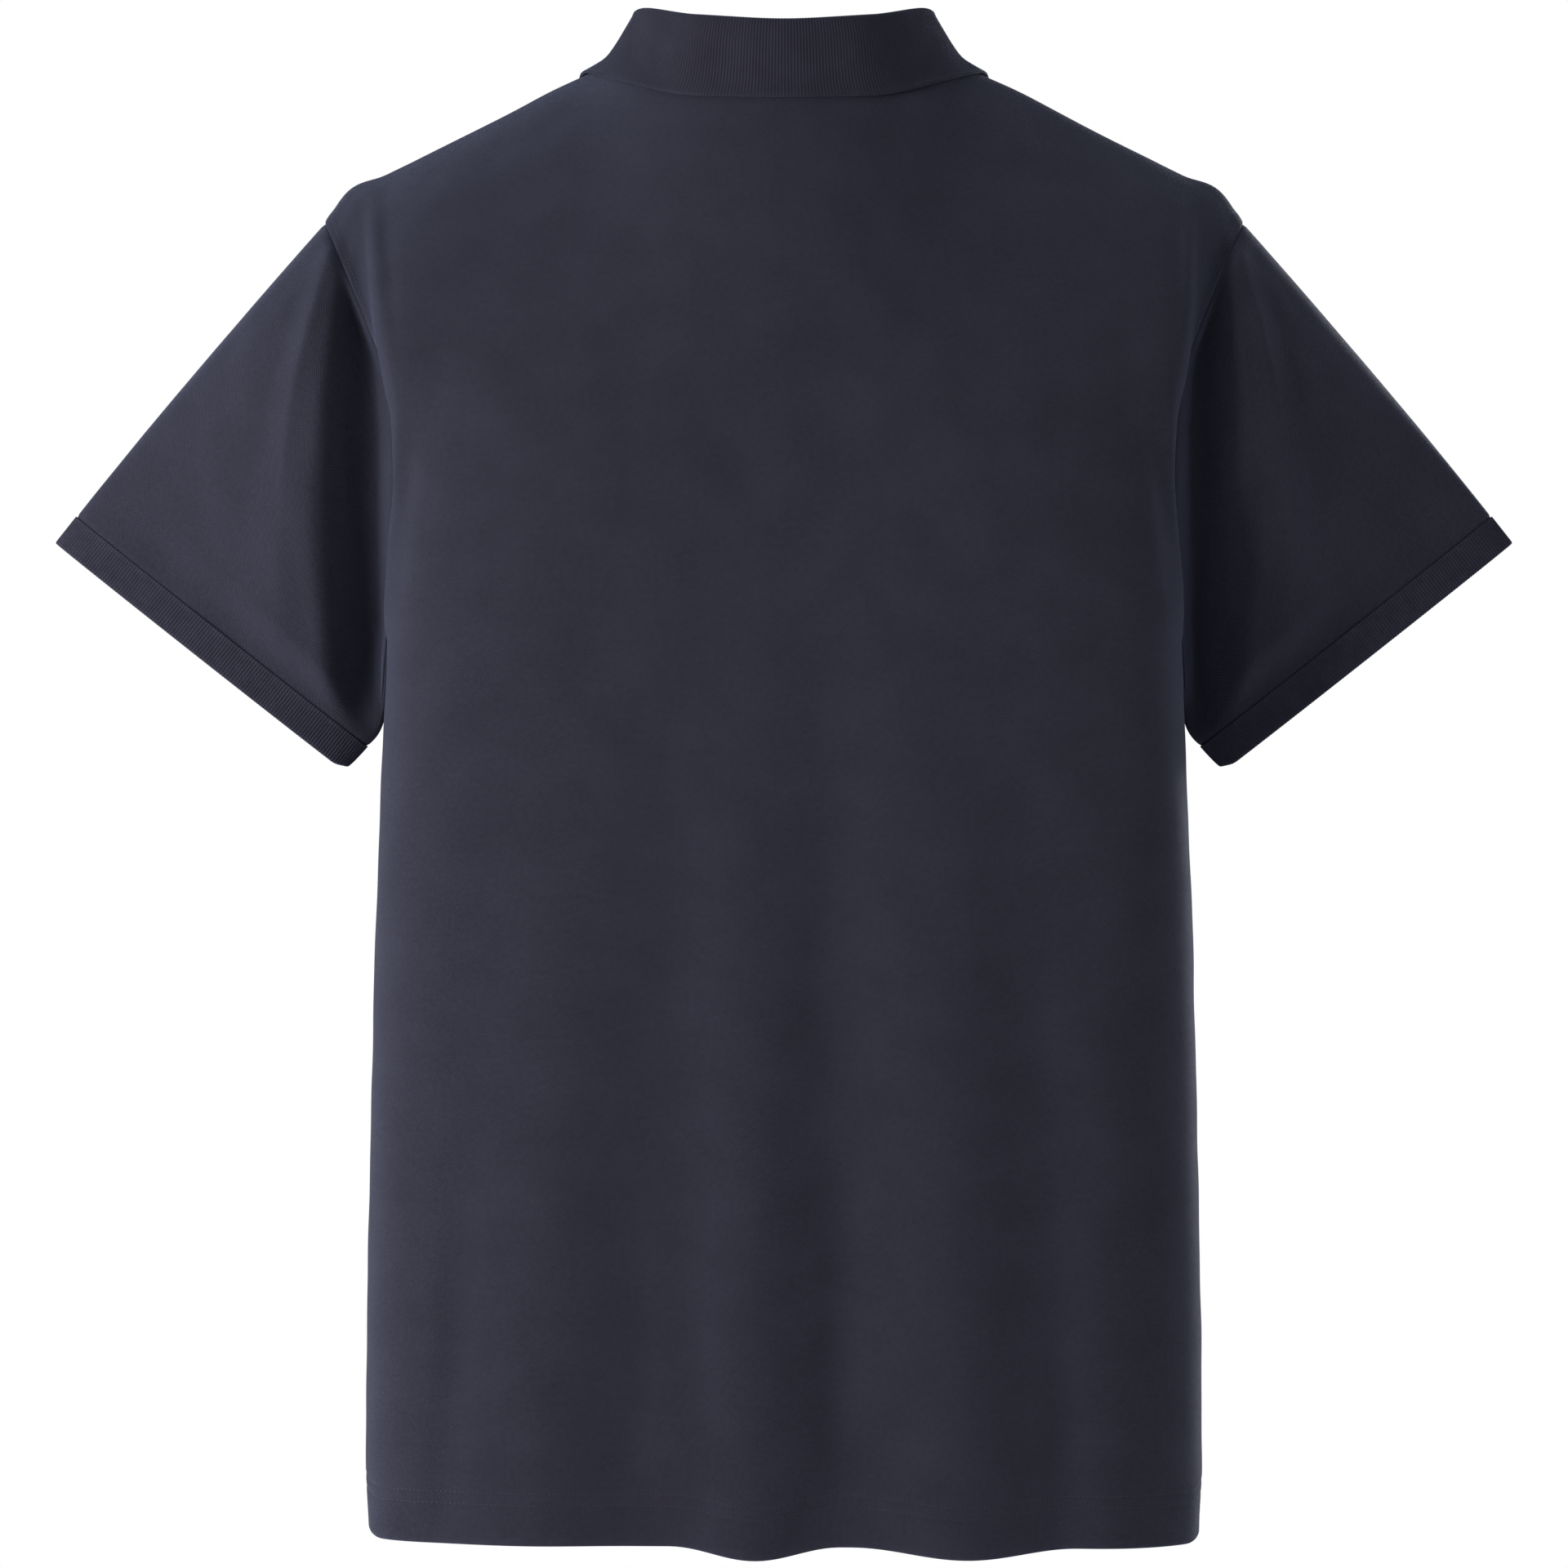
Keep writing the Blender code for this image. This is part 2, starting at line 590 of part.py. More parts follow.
def wall(name, skin, inward, material, ring=False, holes=()):
    """A closed solid between a grid of points and the same grid moved by inward."""
    rows, columns = skin.shape[:2]
    wrap = columns if ring else columns - 1
    work = bmesh.new()
    outer, inner = {}, {}
    cells = [(r, c) for r in range(rows - 1) for c in range(wrap) if (r, c) not in holes]
    for layer, points in ((outer, skin), (inner, skin + inward)):
        for r, c in cells:
            for key in ((r, c), (r, (c + 1) % columns), (r + 1, c), (r + 1, (c + 1) % columns)):
                if key not in layer:
                    layer[key] = work.verts.new(Vector(points[key]) * MM)
    edge_count = {}
    for r, c in cells:
        corners = [(r, c), (r, (c + 1) % columns), (r + 1, (c + 1) % columns), (r + 1, c)]
        work.faces.new([outer[key] for key in corners])
        work.faces.new([inner[key] for key in reversed(corners)])
        for first, second in zip(corners, corners[1:] + corners[:1]):
            pair = frozenset((first, second))
            edge_count.setdefault(pair, []).append((first, second))
    for uses in edge_count.values():
        if len(uses) == 1:
            first, second = uses[0]
            if skin[first][2] < skin[second][2]:
                work.faces.new([outer[second], outer[first], inner[second]])
                work.faces.new([outer[first], inner[first], inner[second]])
            else:
                work.faces.new([outer[second], outer[first], inner[first]])
                work.faces.new([outer[second], inner[first], inner[second]])
    bmesh.ops.recalc_face_normals(work, faces=work.faces)
    return add_object(name, work, material)


def add_object(name, work, material):
    """Turns a bmesh into a smooth-shaded object with its own material."""
    mesh = bpy.data.meshes.new(name)
    work.to_mesh(mesh)
    work.free()
    mesh.materials.append(material)
    mesh.shade_smooth()
    mesh.set_sharp_from_angle(angle=math.radians(SHARP_ANGLE))
    obj = bpy.data.objects.new(name, mesh)
    shirt_collection.objects.link(obj)
    return obj


def make_material(name, colour, roughness):
    material = bpy.data.materials.new(name)
    material.use_nodes = True
    shader = material.node_tree.nodes["Principled BSDF"]
    shader.inputs["Base Color"].default_value = colour
    shader.inputs["Roughness"].default_value = roughness
    shader.inputs["Metallic"].default_value = 0.0
    return material


def make_button_mesh(material):
    """A turned four-hole button, its back on the plane z = 0."""
    work = bmesh.new()
    points = []
    for rim in BUTTON_PROFILE:
        place = Vector((rim.radius * BUTTON_RADIUS, 0, rim.height * BUTTON_THICKNESS))
        points.append(work.verts.new(place * MM))
    for low, high in zip(points, points[1:]):
        work.edges.new((low, high))
    blank = add_object("button_blank", work, material)
    turned = blank.modifiers.new("turned", "SCREW")
    turned.steps = turned.render_steps = BUTTON_SIDES
    turned.use_merge_vertices = True
    turned.merge_threshold = 0.01 * MM
    turned.use_normal_calculate = True
    for index in range(4):
        turn = math.pi / 4 + index * math.pi / 2
        bpy.ops.mesh.primitive_cylinder_add(
            vertices=BUTTON_HOLE_SIDES,
            radius=BUTTON_HOLE_RADIUS * MM,
            depth=4 * BUTTON_THICKNESS * MM,
            location=(
                BUTTON_HOLE_OFFSET * math.cos(turn) * MM,
                BUTTON_HOLE_OFFSET * math.sin(turn) * MM,
                0,
            ),
        )
        cutter = bpy.context.object
        cutter.name = f"button_hole_cutter_{index + 1}"
        for holder in cutter.users_collection:
            holder.objects.unlink(cutter)
        cutter_collection.objects.link(cutter)
        cutter.hide_render = True
        cutter.display_type = "WIRE"
        cut = blank.modifiers.new(f"hole_{index + 1}", "BOOLEAN")
        cut.operation = "DIFFERENCE"
        cut.object = cutter
    bpy.context.view_layer.update()
    graph = bpy.context.evaluated_depsgraph_get()
    mesh = bpy.data.meshes.new_from_object(blank.evaluated_get(graph))
    mesh.name = "button"
    bpy.data.objects.remove(blank)
    return mesh


def place_button(name, mesh, seat, normal):
    """Sets a button's back just off its seat, facing along the seat's normal."""
    obj = bpy.data.objects.new(name, mesh)
    turned = Vector(normal).to_track_quat("Z", "Y").to_matrix().to_4x4()
    obj.matrix_world = Matrix.Translation(Vector(seat + normal * BUTTON_GAP) * MM) @ turned
    shirt_collection.objects.link(obj)


def build_shirt():
    knit = make_material("navy_pique", NAVY, 0.85)
    rib = make_material("navy_rib", NAVY_RIB, 0.88)
    plastic = make_material("button_navy", BUTTON_NAVY, 0.35)

    back, back_normals = make_panel(1)
    front, front_normals = make_panel(-1)
    underarm = len(body_levels()) - 1
    sleeve, outlet = make_sleeve(back, front, underarm)
    cuff = make_cuff(sleeve, outlet)
    sleeve_normals = tube_normals(sleeve)
    cuff_normals = tube_normals(cuff)

    back_out, front_out = back_normals.copy(), front_normals.copy()
    sleeve_out, cuff_out = sleeve_normals.copy(), cuff_normals.copy()
    share_seams((back, back_out), (front, front_out), sleeve, sleeve_out)
    sleeve_out[-1] = cuff_out[0] = unit(sleeve_normals[-1] + cuff_normals[0])

    back_inward = -back_out * panel_walls()
    front_inward = -front_out * panel_walls()
    seam, seam_inward = collar_seam(back, front, back_inward, front_inward)
    collar, collar_inward = make_collar(seam, seam_inward, panel_surface((back, front)))

    back_skin = trim_panel(back, back_normals, underarm)
    front_skin = trim_panel(front, front_normals, underarm)
    wall("back_panel", back_skin, back_inward, knit)
    wall("front_panel", front_skin, front_inward, knit, holes=placket_slot(front, underarm))
    wall("collar", collar, collar_inward, rib)

    sleeve_skin, cuff_skin = sleeve.copy(), cuff.copy()
    sleeve_skin[0] += pull_back(sleeve[0], sleeve[1], sleeve_normals[0], ARMHOLE_GAP, ring=True)
    sleeve_skin[-1] += pull_back(sleeve[-1], sleeve[-2], sleeve_normals[-1], SEAM_GAP, ring=True)
    cuff_skin[0] += pull_back(cuff[0], cuff[1], cuff_normals[0], SEAM_GAP, ring=True)
    for side, flip in (("left", LEFT), ("right", RIGHT)):
        wall(f"sleeve_{side}", sleeve_skin * flip, -sleeve_out * flip * CLOTH_WALL, knit, ring=True)
        wall(f"cuff_{side}", cuff_skin * flip, -cuff_out * flip * RIB_WALL, rib, ring=True)

    centre_line, centre_out = build_placket(front_skin, front_normals, underarm, knit)
    build_buttons(centre_line, centre_out, plastic)


def tube_normals(skin):
    """Outward normals of a sleeve or a cuff, judged at its upper edge."""
    normals = surface_normals(skin, ring=True)
    upwards = (CUFF_TOP[0] - CUFF_BOTTOM[0], 0, CUFF_TOP[1] - CUFF_BOTTOM[1])
    return normals * np.sign(np.dot(normals[-1, 0], upwards))


def share_seams(back, front, sleeve, sleeve_out):
    """Gives each seam one slant of wall for all the pieces that it joins."""
    middle = back[0].shape[1] // 2
    neck = slice(middle - NECK_COLUMNS, middle + NECK_COLUMNS + 1)
    sleeves = [(sleeve[0] * flip, sleeve_out[0] * flip) for flip in (LEFT, RIGHT)]
    stands = [(skin[-1, neck], stand_directions(skin[-1, neck])) for skin, _ in (back, front)]
    share_slants([back, front] + sleeves + stands)
    sleeve_out[0] = sleeves[0][1]


def panel_walls():
    """Wall thickness of each row of a panel, thicker where the hem is turned up."""
    levels = np.concatenate([body_levels(), np.zeros(len(yoke_shares()) - 1)])
    turned = levels < HEM_LEVEL + HEM_TURN + HEM_STEP / 2
    return np.where(turned, HEM_WALL, CLOTH_WALL)[:, None, None]


def placket_slot(front, underarm):
    """Cells of the front panel that the neck slit leaves open."""
    middle = front.shape[1] // 2
    rows = range(underarm + BELOW_STRIP_ROWS + 1, front.shape[0] - 1)
    return {(row, column) for row in rows for column in (middle - 1, middle)}


def build_placket(front_skin, front_normals, underarm, material):
    """Two strips that close the neck slit; returns the upper one's centre line and normals."""
    middle = front_skin.shape[1] // 2
    beside = len(STRIP_COLUMNS) - 1
    strip = (slice(underarm + BELOW_STRIP_ROWS, None), slice(middle - beside, middle + beside + 1))
    base, out = front_skin[strip].copy(), front_normals[strip]
    base[-1] += unit(base[-2] - base[-1]) * PLACKET_TOP_TRIM
    top_skin = base + out * (LAYER_GAP + CLOTH_WALL)
    wall("placket_top", top_skin, -out * CLOTH_WALL, material)
    wall("placket_under", base - out * (CLOTH_WALL + LAYER_GAP), -out * CLOTH_WALL, material)
    return top_skin[:, beside], out[:, beside]


def build_buttons(centre_line, centre_out, material):
    """Sets the buttons down the placket at even drops below the neck seam."""
    mesh = make_button_mesh(material)
    for number in range(BUTTON_COUNT):
        level = -NECK_FRONT_DROP - BUTTON_FIRST_DROP - number * BUTTON_SPACING
        seat = [np.interp(level, centre_line[:, 2], column) for column in centre_line.T]
        out = [np.interp(level, centre_line[:, 2], column) for column in centre_out.T]
        place_button(f"button_{number + 1}", mesh, np.array(seat), unit(np.array(out)))


def stand_directions(seam):
    """Level directions out from the neck seam, in which the collar's stand gets its wall."""
    along = np.gradient(seam, axis=0) * (1, 1, 0)
    out = unit(np.cross(along, (0, 0, 1)))
    return out * np.sign(np.sum(out * seam, axis=-1, keepdims=True))


def pull_back(line, inner, out, gap, ring=False):
    """An edge drawn back from its seam by half the gap, along the piece's own surface."""
    if ring:
        along = np.roll(line, -1, axis=0) - np.roll(line, 1, axis=0)
    else:
        along = np.gradient(line, axis=0)
    inside = unit(np.cross(out, along))
    inside *= np.sign(np.sum(inside * (inner - line), axis=-1, keepdims=True))
    return inside * gap / 2


def trim_panel(skin, normals, underarm):
    """Draws a panel's side, armhole, shoulder and neck edges back from their seams."""
    moved = skin.copy()
    gaps = np.where(np.arange(len(skin)) < underarm, SEAM_GAP, ARMHOLE_GAP)[:, None]
    for column, inner in ((0, 1), (-1, -2)):
        moved[:, column] += pull_back(skin[:, column], skin[:, inner], normals[:, column], gaps)
    moved[-1] += pull_back(skin[-1], skin[-2], normals[-1], SEAM_GAP)
    return moved


for old in list(bpy.data.objects):
    bpy.data.objects.remove(old)
shirt_collection = bpy.data.collections.new("polo_shirt")
cutter_collection = bpy.data.collections.new("cutters")
bpy.context.scene.collection.children.link(shirt_collection)
bpy.context.scene.collection.children.link(cutter_collection)
build_shirt()
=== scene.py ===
import math
from collections import namedtuple

import bmesh
import bpy
import numpy as np
from mathutils import Matrix, Vector
from mathutils.bvhtree import BVHTree


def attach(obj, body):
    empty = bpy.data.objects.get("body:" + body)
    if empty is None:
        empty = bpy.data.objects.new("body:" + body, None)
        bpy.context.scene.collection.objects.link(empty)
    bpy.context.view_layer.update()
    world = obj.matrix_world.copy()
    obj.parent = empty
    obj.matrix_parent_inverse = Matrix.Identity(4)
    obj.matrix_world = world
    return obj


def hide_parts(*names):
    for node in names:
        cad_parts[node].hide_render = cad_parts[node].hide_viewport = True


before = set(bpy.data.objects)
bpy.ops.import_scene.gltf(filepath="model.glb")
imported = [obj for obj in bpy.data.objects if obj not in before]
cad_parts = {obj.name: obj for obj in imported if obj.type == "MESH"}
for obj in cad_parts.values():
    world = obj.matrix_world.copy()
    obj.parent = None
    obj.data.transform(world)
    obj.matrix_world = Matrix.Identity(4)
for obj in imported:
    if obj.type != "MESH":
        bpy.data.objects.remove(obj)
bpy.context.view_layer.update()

# A men's polo shirt in its worn, hollow form. Lengths are in millimetres until a mesh is made;
# +Z is up, the front faces -Y, and +X is the wearer's left. What differs between the panels
# goes by their face: 1 for the back, which faces +Y, and -1 for the front.
mm = 0.001
left = np.array([1, 1, 1])
right = np.array([-1, 1, 1])
upwards = np.array([0.0, 0.0, 1.0])

cloth = {
    "wall": 1.3,  # pique
    "ribWall": 1.7,
    "hemWall": 2.2,
    "seamGap": 0.02,
    "layerGap": 0.3,
    "longestSlant": 1.7,  # of a wall's edge, where pieces meet at a seam
    "leastSpread": 0.05,
    "seamDip": 0.55,  # how deep the cloth turns in at a seam
    "thinnest": 0.35,  # share of its wall that a free edge keeps
}

bodyCut = {
    "hemLevel": -719.0,
    "hemTurn": 25.0,
    "hemStep": 1.5,
    "underarmLevel": -258.0,
    "underarmRise": 30.0,
    "riseWidth": 60.0,
    "riseFade": 150.0,
    "sideSeamY": -4.0,
    "backSquareness": 5.5,
    "frontSquareness": 3.2,
    "tuckFlat": 20.0,
    "tuckReach": 56.0,
    "hemWaveHeight": 260.0,
    "hemTilt": 1.4,
    "foldOnset": 1.3,
    "armholePull": 8,
    "ringSamples": 121,
    "ringLevels": 116,
}

neckCut = {
    "halfWidth": 84.0,
    "backY": 44.0,
    "backDrop": 22.0,
    "backCurve": 1.6,
    "frontY": -62.0,
    "frontDrop": 60.0,
    "frontCurve": 1.5,
    "seamY": -16.0,
    "seamDrop": 1.5,
    "seamDropCurve": 8,
}

panelGrid = {
    "neckColumns": 7,
    "shoulderColumns": 9,
    "tipCrowding": 1.4,
    "sideCrowding": 1.12,
    "finer": 6,  # columns for each column of the plain solid
    "bodyStep": 3.9,
    "yokeRows": 84,
    "yokeCrowding": 1.15,
    "leastApart": 0.003,  # share of the chest's height that two rows are at least apart
    "stripColumns": np.array([0.0, 11.0, 16.0]),
    "slotLength": 156.0,
    "placketLength": 162.0,
    "coarseBodyRows": 15,
    "coarseChestRows": 4,
    "coarseNeckRows": 12,
    "neckCrowding": 1.35,
    "easeColumns": 5.5,
    "easeSlope": 0.7,
    "easeReach": 18.0,
    "easeOnset": 6,
    "easePasses": 160,
}

# Level sections of the body, hem first
Section = namedtuple("Section", "level halfWidth backDepth frontDepth sideTuck")
bodySections = (
    Section(-719, 202.5, 100, 108, 0),
    Section(-620, 202.0, 100, 108, 0),
    Section(-520, 200.0, 101, 109, 0),
    Section(-430, 198.0, 101, 109, 1),
    Section(-360, 195.5, 100, 108, 6),
    Section(-300, 193.5, 99, 107, 11),
    Section(-258, 192.5, 98, 106, 13),
)

# Across the shoulder blades and across the chest, from the centre to the armhole seam
Across = namedtuple("Across", "share x y z")
bladeSection = (
    Across(0.00, 0, 83, -148),
    Across(0.25, 48, 82, -148),
    Across(0.50, 96, 79, -149),
    Across(0.75, 161, 72, -154),
    Across(0.85, 186.5, 67, -160),
    Across(0.92, 191.5, 56, -166),
    Across(1.00, 187, 41.5, -173),
)
chestSection = (
    Across(0.00, 0, -96, -174),
    Across(0.25, 42, -95, -171),
    Across(0.50, 92, -92, -162),
    Across(0.75, 158, -84, -160),
    Across(0.85, 184, -77, -163),
    Across(0.92, 190, -66, -168),
    Across(1.00, 187, -51.5, -173),
)

# The armhole seam, from the underarm up to the shoulder tip
Seam = namedtuple("Seam", "share x backY frontY z")
armhole = (
    Seam(0.000, 180.0, -4.0, -4.0, -258.0),
    Seam(0.100, 178.5, 13.0, -23.0, -252.0),
    Seam(0.200, 177.5, 27.0, -37.0, -236.0),
    Seam(0.300, 178.5, 35.0, -45.0, -215.0),
    Seam(0.400, 181.5, 39.5, -49.5, -193.0),
    Seam(0.500, 187.0, 41.5, -51.5, -173.0),
    Seam(0.600, 192.5, 41.0, -51.5, -157.0),
    Seam(0.700, 199.5, 38.0, -50.0, -140.0),
    Seam(0.800, 207.0, 33.0, -47.0, -122.0),
    Seam(0.880, 213.5, 27.0, -42.0, -107.0),
    Seam(0.940, 220.0, 17.5, -35.0, -92.5),
    Seam(0.975, 224.5, 5.0, -26.0, -83.5),
    Seam(1.000, 226.0, -14.0, -14.0, -81.5),
)

# The ridge of the shoulder, from the neck point to the tip
Ridge = namedtuple("Ridge", "share x z")
shoulderRidge = (
    Ridge(0.00, 84, 0.0),
    Ridge(0.10, 98, -8.0),
    Ridge(0.20, 112, -15.0),
    Ridge(0.35, 132, -26.4),
    Ridge(0.50, 152, -36.8),
    Ridge(0.80, 196, -57.6),
    Ridge(0.93, 216, -66.0),
    Ridge(1.00, 226, -80.0),
)

# How the columns of a panel run: up from the underarm level, and into the top edge
Run = namedtuple("Run", "share x y z")
backStartRuns = (
    Run(0.0, 0, -8, 270),
    Run(0.5, 0, -8, 270),
    Run(0.8, 40, 10, 240),
    Run(0.9, 45, 80, 130),
    Run(1.0, -8, 170, 40),
)
backEndRuns = (
    Run(0.0, 0, -95, 150),
    Run(0.25, -20, -120, 130),
    Run(0.5, -30, -190, -40),
    Run(0.75, 0, -190, -110),
    Run(1.0, 40, -160, -90),
)
frontStartRuns = (
    Run(0.0, 0, 10, 228),
    Run(0.5, 0, 10, 250),
    Run(0.8, 40, -10, 240),
    Run(0.9, 45, -80, 130),
    Run(1.0, -8, -170, 40),
)
frontEndRuns = (
    Run(0.0, 0, 70, 228),
    Run(0.25, -30, 90, 150),
    Run(0.5, -30, 190, 60),
    Run(0.75, 0, 170, 80),
    Run(1.0, 40, 130, 40),
)

# Soft folds that hang down the body
Fold = namedtuple("Fold", "startLevel startX hemX height halfWidth hemDrop")
backFolds = (
    Fold(-230, 92, 119, 5.0, 50, 0.0),
    Fold(-200, 18, 14, 6.5, 41, 6.0),
    Fold(-180, -58, -86, 7.5, 54, 5.0),
    Fold(-260, -150, -160, 3.5, 34, 0.0),
)
frontFolds = (
    Fold(-280, 120, 146, 5.0, 46, 2.0),
    Fold(-300, 38, 52, 6.0, 44, 4.5),
    Fold(-320, -42, -44, 5.0, 40, 3.0),
    Fold(-260, -112, -136, 6.0, 50, 2.5),
)


def unit(vectors):
    return vectors / np.linalg.norm(vectors, axis=-1, keepdims=True)


def hermite(start, end, startRun, endRun, part):
    square, cube = part**2, part**3
    leaving = (2 * cube - 3 * square + 1) * start + (cube - 2 * square + part) * startRun
    arriving = (3 * square - 2 * cube) * end + (cube - square) * endRun
    return leaving + arriving


def through(table, where):
    # a smooth curve through a table whose first column is the station
    table = np.asarray(table, float)
    stations, rows = table[:, 0], table[:, 1:]
    where = np.atleast_1d(np.asarray(where, float))
    slopes = np.gradient(rows, stations, axis=0)
    low = np.clip(np.searchsorted(stations, where, side="right") - 1, 0, len(stations) - 2)
    width = (stations[low + 1] - stations[low])[:, None]
    part = (where - stations[low])[:, None] / width
    return hermite(rows[low], rows[low + 1], slopes[low] * width, slopes[low + 1] * width, part)


def swell(distance):
    return np.cos(np.clip(distance, -1, 1) * math.pi / 2) ** 2


def ease(part):
    part = np.clip(part, 0, 1)
    return part * part * (3 - 2 * part)


def arcShares(points):
    length = np.cumsum(np.linalg.norm(np.diff(points, axis=0), axis=-1))
    return np.concatenate([[0], length / length[-1]])


def distances(skin, ring=False):
    # how far each point lies from the first row, and from the first column, along the cloth
    rise = np.linalg.norm(np.diff(skin, axis=0), axis=-1)
    along = np.concatenate([np.zeros((1, skin.shape[1])), np.cumsum(rise, axis=0)])
    closing = [skin[:, :1]] if ring else []
    steps = np.linalg.norm(np.diff(np.concatenate([skin] + closing, axis=1), axis=1), axis=-1)
    across = np.concatenate([np.zeros((len(skin), 1)), np.cumsum(steps, axis=1)], axis=1)
    return along, across


def facing(directions, guide):
    # the same directions, each turned to the side that its guide points to
    return directions * np.sign(np.sum(directions * guide, axis=-1, keepdims=True))


def bodyRing(level, face):
    # length of a level section from the centre to the side seam, with x and y along it
    cut = bodyCut
    halfWidth, backDepth, frontDepth, sideTuck = through(bodySections, level)[0]
    depth = backDepth if face > 0 else frontDepth
    power = cut["backSquareness"] if face > 0 else cut["frontSquareness"]
    turn = np.linspace(0, math.pi / 2, cut["ringSamples"])
    wide, deep = np.sin(turn) / halfWidth, np.cos(turn) / depth
    radius = (wide**power + deep**power) ** (-1 / power)
    across, away = radius * np.sin(turn), radius * np.cos(turn)
    tuck = (cut["tuckReach"] - away) / (cut["tuckReach"] - cut["tuckFlat"])
    across = across - sideTuck * ease(tuck)
    length = np.concatenate([[0], np.cumsum(np.hypot(np.diff(across), np.diff(away)))])
    return length, across, cut["sideSeamY"] + face * away


def ringTable(face):
    # the body's rings at even levels, so that a fine row needs no ring of its own
    cut = bodyCut
    levels = np.linspace(cut["hemLevel"], cut["underarmLevel"], cut["ringLevels"])
    return levels, [bodyRing(level, face) for level in levels]


def bodyRow(level, shares, face, rings):
    # a row of the body, level across the panel and rising to the underarm at the side
    cut = bodyCut
    levels, found = rings
    sideLeft = (1 - shares) * bodyRing(cut["underarmLevel"], face)[0][-1]
    top = cut["underarmLevel"] - cut["underarmRise"]
    near = np.clip(sideLeft / cut["riseWidth"], 0, 1)
    rise = cut["underarmRise"] * (1 - np.sin(near * math.pi / 2))
    heights = level + rise * ease(1 - (top - level) / cut["riseFade"])
    row = []
    for share, height in zip(shares, heights):
        place = np.interp(height, levels, np.arange(len(levels)))
        low = min(int(place), len(levels) - 2)
        part = place - low
        pair = []
        for length, x, y in found[low : low + 2]:
            along = share * length[-1]
            pair.append((np.interp(along, length, x), np.interp(along, length, y)))
        (lowX, lowY), (highX, highY) = pair
        row.append((lowX + (highX - lowX) * part, lowY + (highY - lowY) * part, height))
    return np.array(row)


def neckEdge(face, share):
    # the neck seam from the centre (0) to the shoulder seam (1)
    cut = neckCut
    turn = np.asarray(share) * math.pi / 2
    if face > 0:
        y, z = cut["backY"], -cut["backDrop"] * np.clip(np.cos(turn), 0, 1) ** cut["backCurve"]
    else:
        y, z = cut["frontY"], -cut["frontDrop"] * (1 - np.sin(turn) ** cut["frontCurve"])
    x, y = cut["halfWidth"] * np.sin(turn), cut["seamY"] + (y - cut["seamY"]) * np.cos(turn)
    return np.stack([x, y, z - cut["seamDrop"] * np.sin(turn) ** cut["seamDropCurve"]], axis=-1)


def shoulderSeam(share):
    # from the neck (0) to the tip (1), just forward of the ridge
    ridge = through(shoulderRidge, share)
    y = neckCut["seamY"] + (armhole[-1].backY - neckCut["seamY"]) * np.asarray(share)
    return np.stack([ridge[:, 0], y, ridge[:, 1] - neckCut["seamDrop"]], axis=-1)


def armholeSeam(face, share):
    x, backY, frontY, z = through(armhole, share).T
    return np.stack([x, backY if face > 0 else frontY, z], axis=-1)


def columnPlaces(face, finer):
    # for each column: its place on the body's ring, and the point where it meets the top edge
    grid = panelGrid
    columns = grid["neckColumns"] + grid["shoulderColumns"]
    neckStart, acrossStart = np.zeros(1), np.zeros(1)
    if face < 0:
        strip = grid["stripColumns"]
        neckStart = np.arcsin(strip / neckCut["halfWidth"]) / (math.pi / 2)
        acrossStart = strip / bodyRing(bodyCut["underarmLevel"], face)[0][-1]
    neckRest = np.linspace(neckStart[-1], 1, grid["neckColumns"] + 2 - len(neckStart))[1:]
    rest = np.linspace(1, 0, columns + 2 - len(acrossStart))[1:] ** grid["sideCrowding"]
    across = np.concatenate([acrossStart, 1 - (1 - acrossStart[-1]) * rest])
    neck = np.concatenate([neckStart, neckRest])
    place = np.arange(columns * finer + 1) / finer
    fineAcross = through(np.stack([np.arange(len(across)), across], axis=1), place)[:, 0]
    inNeck = place[place <= grid["neckColumns"]]
    fineNeck = through(np.stack([np.arange(len(neck)), neck], axis=1), inNeck)[:, 0]
    past = (place[len(inNeck) :] - grid["neckColumns"]) / grid["shoulderColumns"]
    seam = shoulderSeam(1 - (1 - past) ** grid["tipCrowding"])
    top = np.concatenate([neckEdge(face, np.clip(fineNeck, 0, 1)), seam])
    return place, np.clip(fineAcross, 0, 1), top


def halfPanel(face, finer, levels, shares):
    # skin of the wearer's left half of a panel: rows from the hem up, columns outwards
    place, across, top = columnPlaces(face, finer)
    rings = ringTable(face)
    rows = [bodyRow(level, across, face, rings) for level in levels]
    start = rows[-1]
    blade = through(bladeSection if face > 0 else chestSection, across)
    startRun = through(backStartRuns if face > 0 else frontStartRuns, across)
    endRun = through(backEndRuns if face > 0 else frontEndRuns, across)
    pull = across[:, None] ** bodyCut["armholePull"]
    strip = panelGrid["stripColumns"]
    for share in shares[1:]:
        if share < 0.5:
            row = hermite(start, blade, startRun / 2, (top - start) / 2, share * 2)
        else:
            row = hermite(blade, top, (top - start) / 2, endRun / 2, share * 2 - 1)
        row += pull * (armholeSeam(face, share) - row[-1])
        if face < 0:
            # the edges of the slot and of the placket run straight down
            own = np.interp([1, 2], place, row[:, 0])
            row[:, 0] += np.interp(place, [0, 1, 2, 3], [0, strip[1] - own[0], strip[2] - own[1], 0])
        rows.append(row)
    return np.array(rows)


def bothSides(half):
    other = half[:, :0:-1] * (-1, 1, 1)
    return np.concatenate([other, half], axis=1)


